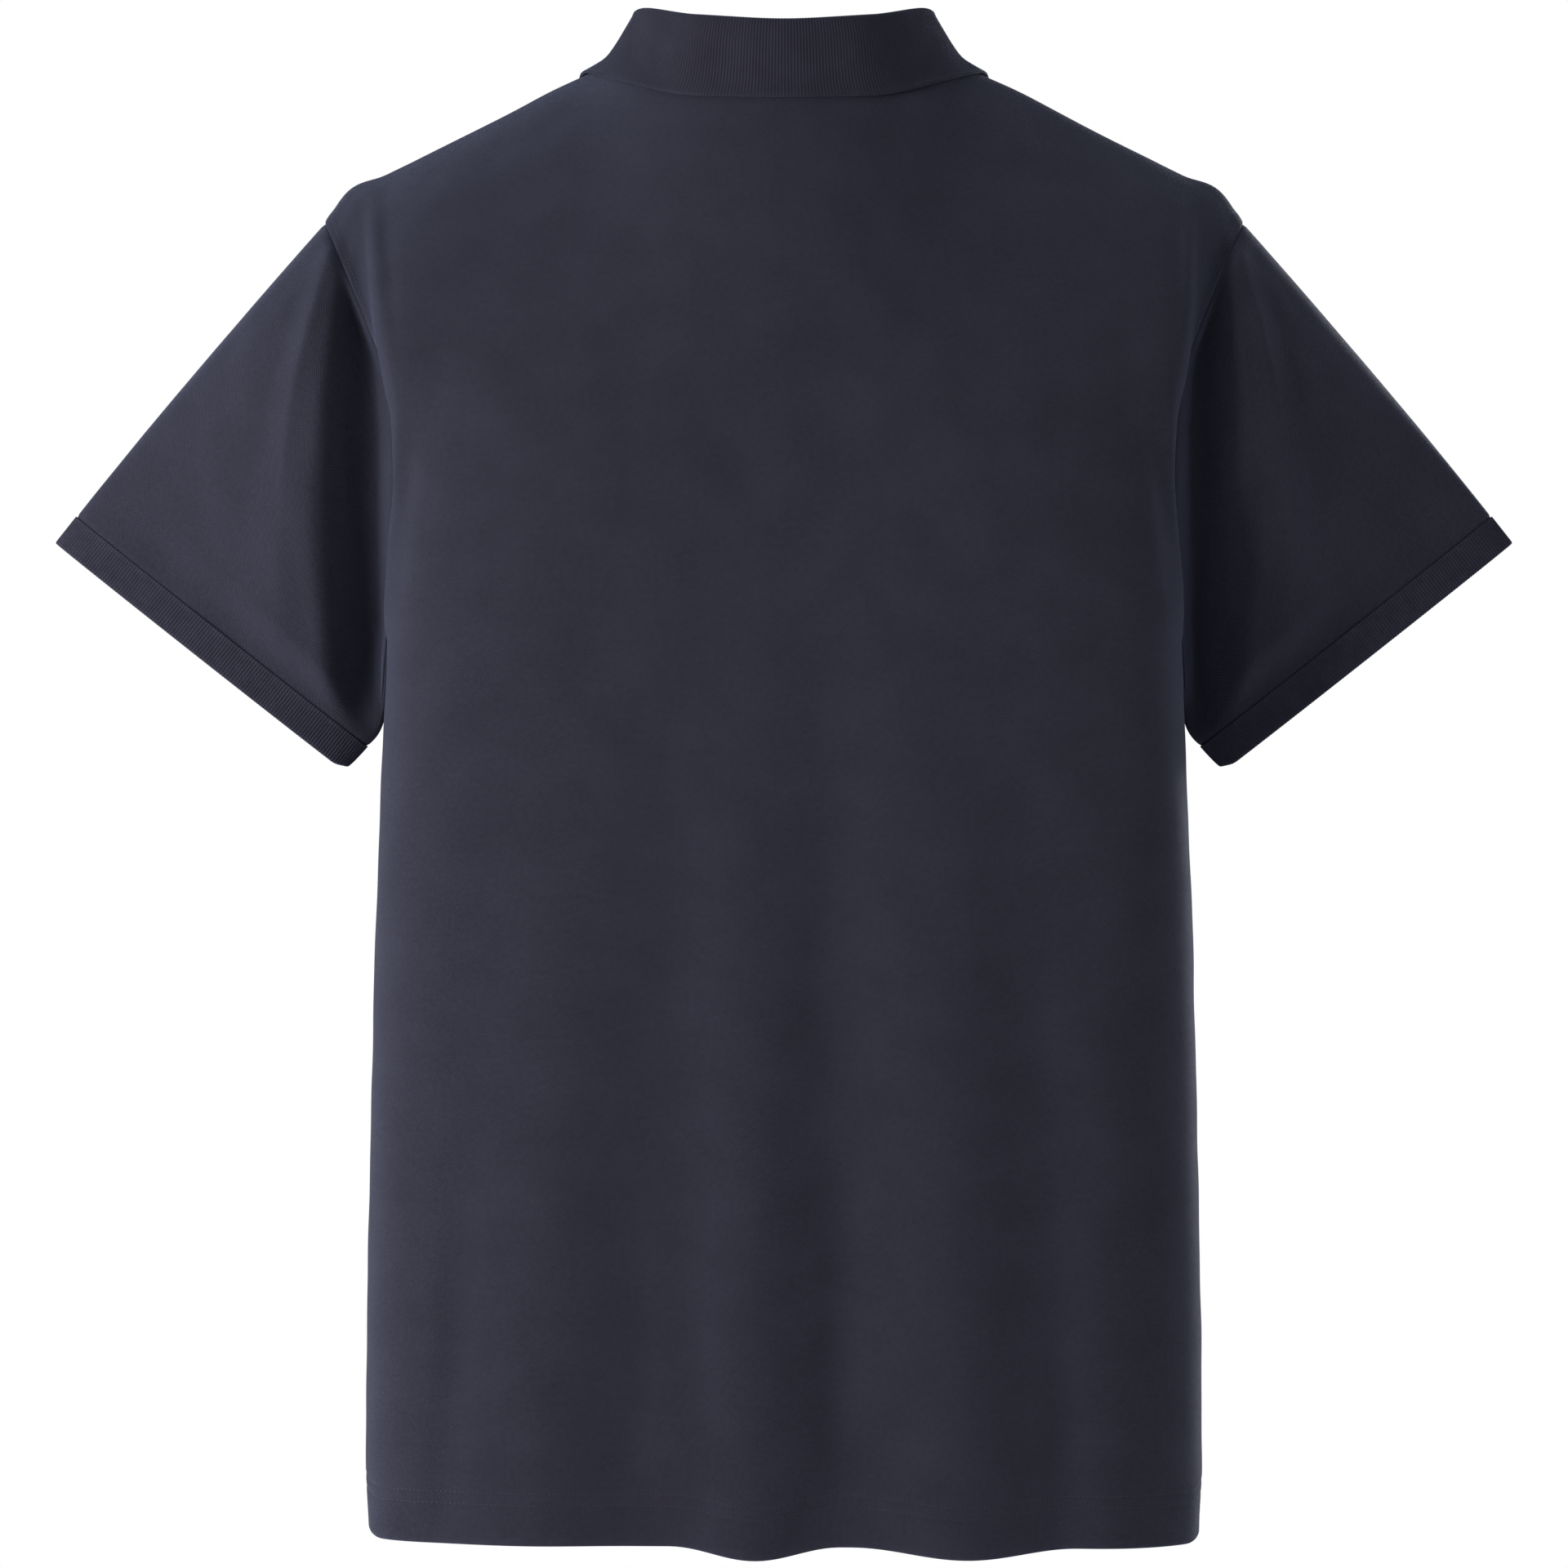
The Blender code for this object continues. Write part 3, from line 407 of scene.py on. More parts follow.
def foldRelief(folds, skin):
    # how far the folds lift the skin, and how far they let the hem down
    cut = bodyCut
    x, z = skin[..., 0], skin[..., 2]
    lift, drop = np.zeros_like(x), np.zeros_like(x)
    for fold in folds:
        down = (fold.startLevel - z) / (fold.startLevel - cut["hemLevel"])
        crest = fold.startX + (fold.hemX - fold.startX) * np.clip(down, 0, 1)
        shape = swell((x - crest) / fold.halfWidth)
        lift += fold.height * shape * ease(down * cut["foldOnset"])
        drop += fold.hemDrop * shape
    aboveHem = np.clip((z - cut["hemLevel"]) / cut["hemWaveHeight"], 0, 1)
    tilt = -cut["hemTilt"] * x / bodySections[0].halfWidth
    return lift, (drop + tilt) * (1 - ease(aboveHem))


def gridNormals(skin, ring=False):
    down = np.gradient(skin, axis=0)
    if ring:
        along = np.roll(skin, -1, axis=1) - np.roll(skin, 1, axis=1)
    else:
        along = np.gradient(skin, axis=1)
    return unit(np.cross(along, down))


def easeNeckPoints(skin, finer, yokeRow):
    # evens out the bend that runs down the cloth from each neck point; the seam itself stays
    grid = panelGrid
    place = abs(np.arange(skin.shape[1]) - skin.shape[1] // 2) / finer
    near = swell((place - grid["neckColumns"]) / grid["easeColumns"])
    along, _ = distances(skin)
    spacing = np.linalg.norm(np.gradient(skin, axis=1), axis=-1)
    reach = np.minimum((along[-1] - along) * grid["easeSlope"], grid["easeReach"]) * near / spacing
    onset = ease((np.arange(len(skin)) - yokeRow) / (grid["easeOnset"] * finer))
    weight = np.clip(2 * reach**2 / grid["easePasses"], 0, 1) * onset[:, None]
    weight = weight[:, 1:-1, None] / 4
    for _ in range(grid["easePasses"]):
        skin[:, 1:-1] += weight * (skin[:, :-2] - 2 * skin[:, 1:-1] + skin[:, 2:])


def makePanel(face, finer, levels, shares):
    skin = bothSides(halfPanel(face, finer, levels, shares))
    easeNeckPoints(skin, finer, len(levels))
    lift, drop = foldRelief(backFolds if face > 0 else frontFolds, skin)
    lift[:, [0, -1]] = 0
    skin[..., 1] += face * lift
    skin[..., 2] -= drop
    normals = gridNormals(skin)
    return skin, normals * np.sign(normals[len(levels) // 2, normals.shape[1] // 2, 1]) * face


def ringNormals(skin):
    # normals of a closed tube of cloth, facing out of it
    normals = gridNormals(skin, ring=True)
    top = np.argmax(skin[-1, :, 2])
    return normals * np.sign(np.dot(normals[-1, top], skin[-1, top] - skin[-1].mean(axis=0)))


sleeveCut = {
    "cuffTop": (347.0, -226.0),
    "cuffBottom": (204.5, -338.5),
    "cuffHalfDepth": 17.0,
    "cuffBluntness": 0.8,
    "cuffCentreY": -5.0,
    "leavesTop": np.array([0.66, 0.0, -0.75]),
    "leavesBottom": np.array([0.82, 0.0, -0.57]),
    "fullness": 0.25,
    "troughX": 205.0,
    "troughDepth": 8.0,
    "troughHalfWidth": 19.0,
    "rows": 96,
}

cuffCut = {
    "length": 16.5,
    "step": 0.4,
    "ribs": 250,
    "ribColumns": 4,  # columns of points for each rib
    "rows": 9,
    "ribDepth": 0.42,
    "edgeRibs": 0.35,  # how much of the ribs' depth is left at the mouth
    "edgeStart": 1.0,
    "fadeReach": 1.2,
    "furrowWear": 0.12,
    # painted light: the whole cuff is made evenly paler, so it looks brighter lit
    "wearAndPaintedLight": 0.45,
    "cornerReach": 13.0,
    "cornerRise": 2.6,
    "cornerNarrowing": 2.2,
}


def makeSleeve(back, front, armholeRows):
    # skin of the left sleeve: ring columns from the underarm up the front and down the back
    cut = sleeveCut
    backEdge = back[armholeRows:, -1][::-1]
    frontEdge = front[armholeRows:, -1]
    ring = np.concatenate([backEdge, frontEdge[1:-1]])
    turn = np.concatenate([arcShares(backEdge), 1 + arcShares(frontEdge)[1:-1]]) * math.pi
    underarm = len(backEdge) - 1
    ring, turn = np.roll(ring, -underarm, axis=0), np.roll(turn, -underarm)
    top, bottom = np.array(cut["cuffTop"]), np.array(cut["cuffBottom"])
    centre, half = (top + bottom) / 2, (top - bottom) / 2
    blunt = np.sign(np.sin(turn)) * abs(np.sin(turn)) ** cut["cuffBluntness"]
    cuff = np.stack([
        centre[0] + half[0] * np.cos(turn),
        cut["cuffCentreY"] + cut["cuffHalfDepth"] * blunt,
        centre[1] + half[1] * np.cos(turn),
    ], axis=-1)
    outlet = unit(np.array([half[1], 0, -half[0]]))
    span = np.linalg.norm(cuff - ring, axis=-1, keepdims=True)
    sideways = np.stack([np.zeros(len(turn)), np.sin(turn), np.zeros(len(turn))], axis=-1)
    upper = (1 + np.cos(turn))[:, None] / 2
    leave = unit(cut["leavesTop"] * upper + cut["leavesBottom"] * (1 - upper) + cut["fullness"] * sideways)
    rows = []
    for part in np.linspace(0, 1, cut["rows"] + 1):
        row = hermite(ring, cuff, leave * span, outlet * span, part)
        hollow = swell((row[:, 0] - cut["troughX"]) / cut["troughHalfWidth"])
        row[:, 1] -= cut["troughDepth"] * hollow * np.sin(turn) * swell(2 * part - 1)
        rows.append(row)
    skin = np.array(rows)
    return skin, ringNormals(skin), outlet


def evenRing(line, count):
    # a closed line divided evenly, through a periodic smooth curve
    length = np.linalg.norm(np.roll(line, -1, axis=0) - line, axis=-1)
    stations = np.concatenate([[0], np.cumsum(length)])
    total = stations[-1]
    table = np.concatenate([line[-2:], line, line[:3]])
    marks = np.concatenate([stations[-3:-1] - total, stations[:-1], total + stations[:3]])
    return through(np.column_stack([marks, table]), np.arange(count) * total / count)


def makeCuff(sleeve, outlet):
    cut = cuffCut
    seam = evenRing(sleeve[-1], cut["ribs"] * cut["ribColumns"])
    out = unit(seam - seam.mean(axis=0)) * cut["step"]
    parts = ease(np.linspace(0, 1, cut["rows"] + 1))
    skin = np.array([seam + out + outlet * cut["length"] * part for part in parts])
    return skin, ringNormals(skin)


# The collar strip: its fold, and its outer edge with that edge's lift off the panels
CollarPlace = namedtuple("CollarPlace", "share foldX foldY foldZ edgeX edgeY edgeZ lift flare")
collarSections = (
    CollarPlace(0.00, 0, 44, 12.2, 0, 48, -27, 1.0, 0.15),
    CollarPlace(0.22, 43, 34, 16, 55, 42, -22, 1.0, 0.30),
    CollarPlace(0.45, 72, -8, 22.5, 99, -9, -9.0, 0.7, 0.80),
    CollarPlace(0.53, 71, -22, 18, 101, -33, -18, 0.8, 0.75),
    CollarPlace(0.62, 65, -36, 8, 98, -58, -36, 1.2, 0.60),
    CollarPlace(0.82, 37, -58, -22, 72, -84, -78, 2.2, 0.30),
    CollarPlace(1.00, 3.5, -67, -46, 47, -92, -108, 2.6, 0.10),
)

collarCut = {
    "foldRadius": 2.8,
    "frontX": 3.0,
    "fallFullness": 0.12,
    "flareAtFold": 0.6,
    "fallClearance": 1.7,
    "clearanceGain": 1.0,
    "edgeSmoothings": 3,
    "standRows": 2,
    "foldRows": 4,
    "fallRows": 5,
    "fineStandRows": 4,
    "fineFoldRows": 8,
    "fineFallRows": 12,
    "edgeRows": (0.5, 0.3, 0.16, 0.07, 0.03, 0),  # steps of the fall that are left at its last rows
    "centreColumns": 3,  # columns on each side of the centre back that are evened out
    "centreSmoothings": 4,
    "endColumns": 5,
    "endSmoothings": 3,
    "placketMargin": 4.0,
    "bodyCore": np.array([0.0, -10.0, -150.0]),
    "ribs": 330,
    "ribColumns": 4,
    "ribDepth": 0.22,
    "edgeRibs": 0.25,
    "edgeStart": 1.6,
    "fadeReach": 1.4,
    "seamFade": 1.5,
    "furrowWear": 0.12,
}


def panelSurface(panels):
    corners, quads = [], []
    for skin in panels:
        rows, columns = skin.shape[:2]
        index = np.arange(rows * columns).reshape(rows, columns) + len(corners)
        sides = (index[:-1, :-1], index[:-1, 1:], index[1:, 1:], index[1:, :-1])
        quads += np.stack(sides, axis=-1).reshape(-1, 4).tolist()
        corners += skin.reshape(-1, 3).tolist()
    return BVHTree.FromPolygons(corners, quads)


def offPanels(points, lifts, surface, onlyNear=False):
    moved = []
    beside = panelGrid["stripColumns"][-1] + collarCut["placketMargin"]
    for point, lift in zip(points, np.broadcast_to(lifts, (len(points), 1))[:, 0]):
        place, normal = (np.array(found) for found in surface.find_nearest(Vector(point))[:2])
        normal *= np.sign(np.dot(normal, place - collarCut["bodyCore"]))
        if abs(place[0]) < beside and place[1] < neckCut["seamY"]:
            lift += cloth["layerGap"] + cloth["wall"]
        away = point - place
        if onlyNear and np.dot(away, normal) > 0:
            moved.append(place + away * max(1, lift / np.linalg.norm(away)))
        else:
            moved.append(place + normal * lift)
    return np.array(moved)


def halved(line):
    between = (line[:-1] + line[1:]) / 2
    finer = np.empty((2 * len(line) - 1, line.shape[1]))
    finer[::2], finer[1::2] = line, between
    return finer


def collarSeam(back, front, backInward, frontInward):
    # the collar's half of the neck seam, from the centre back to its front end
    middle, columns = back.shape[1] // 2, panelGrid["neckColumns"]
    backNeck = slice(middle, middle + columns + 1)
    frontNeck = slice(middle + columns - 1, middle, -1)
    seam = np.concatenate([back[-1, backNeck], front[-1, frontNeck]])
    inward = np.concatenate([backInward[-1, backNeck], frontInward[-1, frontNeck]])
    turn = math.asin(collarCut["frontX"] / neckCut["halfWidth"]) / (math.pi / 2)
    seam = np.concatenate([seam, [neckEdge(-1, turn)]])
    return halved(seam), halved(np.concatenate([inward, inward[-1:]]))


def makeCollar(seam, inward, surface):
    # the collar's visible face, from the neck seam up the stand and down the fall, in big steps
    cut = collarCut
    shape = through(collarSections, arcShares(seam))
    fold, edge, lift, flare = shape[:, 0:3], shape[:, 3:6], shape[:, 6:7], shape[:, 7:8]
    edge = offPanels(edge, lift + cloth["ribWall"], surface)
    for _ in range(cut["edgeSmoothings"]):
        edge[1:-1] = (edge[:-2] + 2 * edge[1:-1] + edge[2:]) / 4
    outward = unit((edge - fold) * (1, 1, 0))
    centre = fold - upwards * cut["foldRadius"]
    standTop = centre - outward * cut["foldRadius"]
    fallTop = centre + outward * cut["foldRadius"]
    base = seam + inward
    base += unit(standTop - base) * cloth["layerGap"]
    rows = [base + (standTop - base) * part for part in np.linspace(0, 1, cut["standRows"] + 1)]
    for angle in np.linspace(0, math.pi, cut["foldRows"] + 1)[1:]:
        turned = upwards * math.sin(angle) - outward * math.cos(angle)
        rows.append(centre + turned * cut["foldRadius"])
    drop = np.linalg.norm(edge - fallTop, axis=-1, keepdims=True)
    startRun = ((cut["fallFullness"] + cut["flareAtFold"] * flare) * outward - upwards) * drop
    endRun = unit(edge - fallTop + flare * outward * drop) * drop
    for part in np.linspace(0, 1, cut["fallRows"] + 1)[1:]:
        row = hermite(fallTop, edge, startRun, endRun, part)
        clearance = lift + cut["clearanceGain"] * (1 - part)
        least = cloth["ribWall"] + np.minimum(cut["fallClearance"], clearance)
        rows.append(offPanels(row, least, surface, onlyNear=True))
    whole = bothSides(np.array(rows))
    wholeInward = np.concatenate([-inward[:0:-1] * (-1, 1, 1), -inward])
    return whole, wholeInward


def refined(grid, rowPlaces, columnPlacesAt):
    # reads a grid of points at finer places, through smooth curves both ways
    rows, columns = grid.shape[:2]
    byRow = through(np.column_stack([np.arange(rows), grid.reshape(rows, -1)]), rowPlaces)
    turned = byRow.reshape(len(rowPlaces), columns, 3).transpose(1, 0, 2).reshape(columns, -1)
    byColumn = through(np.column_stack([np.arange(columns), turned]), columnPlacesAt)
    return byColumn.reshape(len(columnPlacesAt), len(rowPlaces), 3).transpose(1, 0, 2)


def evenPlaces(line, count):
    # places along an uneven line, in steps of its points, that lie at even distances
    return np.interp(np.linspace(0, 1, count + 1), arcShares(line), np.arange(len(line)))


def shareSlants(pieces):
    # where edges meet, gives their walls one slant that keeps each wall's thickness
    meeting = {}
    for points, slants in pieces:
        for point, slant in zip(points.reshape(-1, 3), slants.reshape(-1, 3)):
            meeting.setdefault(tuple(np.round(point, 1)), []).append(slant)
    for slants in meeting.values():
        if len(slants) > 1:
            shared = np.linalg.pinv(np.array(slants), rcond=cloth["leastSpread"]) @ np.ones(len(slants))
            shared *= min(1, cloth["longestSlant"] / np.linalg.norm(shared))
            for slant in slants:
                slant[:] = shared


def standDirections(seam):
    along = np.gradient(seam, axis=0) * (1, 1, 0)
    return facing(unit(np.cross(along, upwards)), seam)


def pullBack(line, inner, out, gap, ring=False):
    # moves an edge back from its seam by half a gap
    if ring:
        along = np.roll(line, -1, axis=0) - np.roll(line, 1, axis=0)
    else:
        along = np.gradient(line, axis=0)
    return facing(unit(np.cross(out, along)), inner - line) * gap / 2


def trimPanel(skin, normals):
    moved, gap = skin.copy(), cloth["seamGap"]
    for column, inner in ((0, 1), (-1, -2)):
        moved[:, column] += pullBack(skin[:, column], skin[:, inner], normals[:, column], gap)
    moved[-1] += pullBack(skin[-1], skin[-2], normals[-1], gap)
    return moved


def addObject(name, data):
    made = bpy.data.objects.new(name, data)
    bpy.context.scene.collection.objects.link(made)
    return made


def quadMesh(name, points, quads, marks, values):
    # a smooth mesh of the points that its quads use, with each corner's place on the cloth
    # and named values for the points
    used, quads = np.unique(quads, return_inverse=True)
    mesh = bpy.data.meshes.new(name)
    mesh.vertices.add(len(used))
    mesh.vertices.foreach_set("co", points[used].astype(np.float32).ravel())
    mesh.loops.add(quads.size)
    mesh.loops.foreach_set("vertex_index", quads.astype(np.int32).ravel())
    mesh.polygons.add(len(marks))
    mesh.polygons.foreach_set("loop_start", np.arange(0, quads.size, 4, dtype=np.int32))
    mesh.uv_layers.new(name="clothPlace").data.foreach_set("uv", marks.astype(np.float32).ravel())
    for key, value in values.items():
        attribute = mesh.attributes.new(key, "FLOAT", "POINT")
        attribute.data.foreach_set("value", value[used].astype(np.float32))
    mesh.update(calc_edges=True)
    mesh.validate()
    mesh.shade_smooth()
    return mesh


def shell(name, skin, inward, material, ring=False, holes=None, thin=None, values=None):
    # a closed thin shell between a grid of points and the same grid moved by inward
    rows, columns = skin.shape[:2]
    size, wrap = rows * columns, columns if ring else columns - 1
    thin = np.ones((rows, columns)) if thin is None else thin
    outer = skin + inward * ((1 - thin) / 2)[..., None]
    inner = skin + inward * ((1 + thin) / 2)[..., None]
    index = np.arange(size).reshape(rows, columns)
    following = np.roll(index, -1, axis=1)
    corners = (index[:-1, :wrap], following[:-1, :wrap], following[1:, :wrap], index[1:, :wrap])
    quads = np.stack(corners, axis=-1)
    along, across = distances(skin, ring)
    across -= across[:, [columns // 2]]
    if ring:
        along = np.concatenate([along, along[:, :1]], axis=1)
    places = np.stack([across, along], axis=-1) * mm
    marks = np.stack([places[:-1, :-1], places[:-1, 1:], places[1:, 1:], places[1:, :-1]], axis=2)
    keep = np.ones(quads.shape[:2], bool) if holes is None else ~holes
    quads, marks = quads[keep], marks[keep]
    a, b, c = (outer.reshape(-1, 3)[quads[:, corner]] for corner in (0, 1, 2))
    towards = np.sum(np.cross(b - a, c - a) * inward.reshape(-1, 3)[quads[:, 0]])
    if towards > 0:
        quads, marks = quads[:, ::-1], marks[:, ::-1]
    edges = np.stack([quads, np.roll(quads, -1, axis=1)], axis=-1).reshape(-1, 2)
    ends = np.stack([marks, np.roll(marks, -1, axis=1)], axis=2).reshape(-1, 2, 2)
    keys = edges.min(axis=1).astype(np.int64) * size + edges.max(axis=1)
    _, first, count = np.unique(keys, return_index=True, return_counts=True)
    free = first[count == 1]
    start, end = edges[free, 0], edges[free, 1]
    rim = np.stack([end, start, start + size, end + size], axis=-1)
    near, far = ends[free, 0], ends[free, 1]
    step = cloth["wall"] * mm
    rimMarks = np.stack([far, near, near + step, far + step], axis=1)
    faces = np.concatenate([quads, quads[:, ::-1] + size, rim])
    allMarks = np.concatenate([marks, marks[:, ::-1], rimMarks])
    points = np.concatenate([outer.reshape(-1, 3), inner.reshape(-1, 3)]) * mm
    values = {key: np.concatenate([value.ravel()] * 2) for key, value in (values or {}).items()}
    mesh = quadMesh(name, points, faces, allMarks, values)
    mesh.materials.append(material)
    return addObject(name, mesh)


# Creases and soft hollows pressed into the smooth skin
Crease = namedtuple("Crease", "fromX fromZ toX toZ height halfWidth bow")
backCreases = (
    Crease(-96, -12, -150, -44, 1.1, 9, 2),
    Crease(92, -20, 128, -52, -0.7, 12, -3),
    Crease(202, -60, 188, -178, 3.0, 6.5, 0),
    Crease(-197, -60, -191, -178, 2.6, 6.5, 0),
    Crease(178, -150, 196, -330, -1.2, 9, 3),
    Crease(-180, -150, -192, -300, -1.2, 9, -3),
    Crease(60, -560, 52, -730, 1.2, 17, 4),
    Crease(-32, -520, -28, -730, -1.4, 16, -4),
    Crease(152, -520, 166, -730, -1.2, 15, 3),
    Crease(-128, -600, -134, -730, -1.0, 15, 3),
    Crease(-10, -90, -60, -150, 0.7, 22, 6),
    Crease(40, -110, 86, -190, -0.8, 24, -7),
)
frontCreases = (
    Crease(-60, -120, -120, -190, 1.0, 18, 6),
    Crease(64, -130, 128, -205, 0.9, 17, -5),
    Crease(18, -236, 34, -400, 0.9, 15, 4),
    Crease(-22, -240, -58, -420, -1.0, 18, -5),
    Crease(178, -150, 192, -330, -1.2, 9, 3),
    Crease(-180, -150, -190, -310, -1.2, 9, -3),
    Crease(92, -560, 98, -730, -1.2, 16, 3),
    Crease(-80, -540, -70, -730, 1.1, 17, -4),
    Crease(6, -600, 2, -730, -1.0, 14, 3),
)


def creaseRelief(creases, skin):
    x, z = skin[..., 0], skin[..., 2]
    lift = np.zeros_like(x)
    for crease in creases:
        run = np.array([crease.toX - crease.fromX, crease.toZ - crease.fromZ], float)
        length = np.hypot(*run)
        aheadX, aheadZ = run / length
        part = ((x - crease.fromX) * aheadX + (z - crease.fromZ) * aheadZ) / length
        aside = (x - crease.fromX) * aheadZ - (z - crease.fromZ) * aheadX
        aside = aside - crease.bow * 4 * part * (1 - part)
        taper = np.sin(np.clip(part, 0, 1) * math.pi)
        lift += crease.height * swell(aside / crease.halfWidth) * taper
    return lift


def ripple(across, along, size, count, seed, spread=(0.7, 1.6)):
    # slow, uneven waves all over the cloth, from -1 to 1
    chance = np.random.default_rng(seed)
    total = np.zeros_like(across)
    for _ in range(count):
        turn, phase = chance.uniform(0, math.pi), chance.uniform(0, 2 * math.pi)
        reach = size * chance.uniform(*spread)
        total += np.sin((across * math.cos(turn) + along * math.sin(turn)) * 2 * math.pi / reach + phase)
    return total / count**0.5 / 2


hemDetail = {
    "stitchHeights": (19.3, 24.8),
    "rowsAbove": (0, 0.35, 0.9, 1.8, 4, 8, 12, 16, 18.2, 19.3, 20.4, 22.4, 23.8, 24.8, 25.4, 27, 29.5),
    "stitchDip": 0.42,
    "stitchReach": 1.5,
    "pucker": 0.28,
    "cornerRise": 6.5,  # how far the hem climbs towards the side seams
    "cornerReach": 10.0,
    "cornerFade": 90.0,
    "cornerPull": 2.4,  # how far the corners draw in
    "cornerHeight": 34.0,
    "puckerLength": 11.0,
    "puckerStretch": 0.2,  # the puckers run upwards, so they change slowly along the cloth
    "puckerCount": 4,
    "puckerCentre": 13.0,
    "puckerReach": 17.0,
    "puckerCalm": 8.0,
    "wearAndPaintedLight": 0.8,
    "wearReach": 3.0,
}

seamDetail = {
    "reach": 2.4,  # how far from a seam the cloth starts to turn in
    "allowance": 7.2,  # the turned edge that thickens the body beside the armhole
    "allowanceRise": 0.45,
    "allowanceStep": 1.2,
    "allowanceOnset": 1.5,
    "ripple": 0.35,
    "rippleLength": 46.0,
    "rippleCount": 7,
    "rippleCalm": 30.0,
    "sideCalm": 12.0,  # how near a side seam, and the top edge, the creases fade
    "topCalm": 14.0,
    "backSeed": 5,
    "frontSeed": 8,
}


def panelLevels():
    cut = bodyCut
    low = cut["hemLevel"] + np.array(hemDetail["rowsAbove"])
    top = cut["underarmLevel"] - cut["underarmRise"]
    count = int((top - low[-1]) / panelGrid["bodyStep"])
    return np.concatenate([low, np.linspace(low[-1], top, count + 1)[1:]])


def stripShares():
    # where the placket and its slot end, as shares of the chest's height
    height = bodyCut["underarmRise"] - bodyCut["underarmLevel"] - neckCut["frontDrop"]
    return [1 - panelGrid[length] / height for length in ("placketLength", "slotLength")]


def yokeShares():
    grid, ends = panelGrid, stripShares()
    even = 1 - np.linspace(1, 0, grid["yokeRows"] + 1) ** grid["yokeCrowding"]
    apart = np.min(abs(even[:, None] - np.array(ends)), axis=1)
    return np.sort(np.concatenate([even[apart > grid["leastApart"]], ends])), ends


def coarsePanel(face):
    # the plain solid's own grid, on which the collar is seated
    cut, grid = bodyCut, panelGrid
    placketEnd, slotEnd = stripShares()
    turn, top = cut["hemLevel"] + cut["hemTurn"], cut["underarmLevel"] - cut["underarmRise"]
    plain = np.linspace(turn + cut["hemStep"], top, grid["coarseBodyRows"])
    levels = np.concatenate([[cut["hemLevel"], turn], plain])
    below = np.linspace(0, placketEnd, grid["coarseChestRows"])
    rest = np.linspace(1, 0, grid["coarseNeckRows"]) ** grid["neckCrowding"]
    return makePanel(face, 1, levels, np.concatenate([below, 1 - (1 - slotEnd) * rest]))


def panelRelief(face, skin, levels):
    # everything that lifts or sinks a panel's skin, along its normals
    detail, hem = seamDetail, hemDetail
    along, across = distances(skin)
    fromSide, fromTop = np.minimum(across, across[:, -1:] - across), along[-1] - along
    lift = creaseRelief(backCreases if face > 0 else frontCreases, skin)
    lift *= ease(fromSide / detail["sideCalm"]) * ease(fromTop / detail["topCalm"])
    seed = detail["backSeed" if face > 0 else "frontSeed"]
    wave = ripple(across, along, detail["rippleLength"], detail["rippleCount"], seed)
    calm = ease(fromSide / detail["rippleCalm"]) * ease(fromTop / detail["rippleCalm"])
    lift += detail["ripple"] * wave * calm
    step, armholeRows = detail["allowanceStep"], np.arange(len(skin)) >= len(levels) - 1
    ridge = ease((detail["allowance"] + step - fromSide) / (2 * step))
    ridge *= ease(fromSide / detail["allowanceOnset"])
    lift += detail["allowanceRise"] * ridge * armholeRows[:, None]
    height = np.full(len(skin), np.inf)
    height[: len(levels)] = levels - bodyCut["hemLevel"]
    for row in hem["stitchHeights"]:
        lift -= hem["stitchDip"] * swell((height - row) / hem["stitchReach"])[:, None]
    inHem = swell((height - hem["puckerCentre"]) / hem["puckerReach"])[:, None]
    stretched = along * hem["puckerStretch"]
    pucker = ripple(across, stretched, hem["puckerLength"], hem["puckerCount"], seed + 1)
    return lift + hem["pucker"] * pucker * inHem * ease(fromSide / hem["puckerCalm"])


def edgeThin(distance, wall):
    # how much of its wall a free edge keeps, so that it looks rolled and not cut square
    rolled = np.sqrt(1 - (1 - np.clip(distance / (wall / 2), 0, 1)) ** 2)
    return np.clip(rolled, cloth["thinnest"], 1)


def finePanels():
    levels = panelLevels()
    shares, ends = yokeShares()
    hemLevel, made = bodyCut["hemLevel"], {}
    for face in (1, -1):
        skin, normals = makePanel(face, panelGrid["finer"], levels, shares)
        skin = skin + normals * panelRelief(face, skin, levels)[..., None]
        low = ease(1 - (skin[..., 2] - hemLevel) / hemDetail["cornerFade"])
        inside = (bodySections[0].halfWidth - abs(skin[..., 0])) / hemDetail["cornerReach"]
        corner = 1 - np.sqrt(1 - np.clip(1 - inside, 0, 1) ** 2)
        skin[..., 2] += hemDetail["cornerRise"] * corner * low
        lowest = swell((skin[..., 2] - hemLevel) / hemDetail["cornerHeight"])
        skin[..., 0] -= np.sign(skin[..., 0]) * hemDetail["cornerPull"] * corner * lowest
        made[face] = skin, facing(gridNormals(skin), normals)
    return made, levels, shares, ends


def turnIn(skin, inward, near):
    # turns the cloth in along its seams, given how near they are
    dip = cloth["seamDip"] * np.clip(1 - near / seamDetail["reach"], 0, 1) ** 2
    return skin + unit(inward) * dip[..., None]


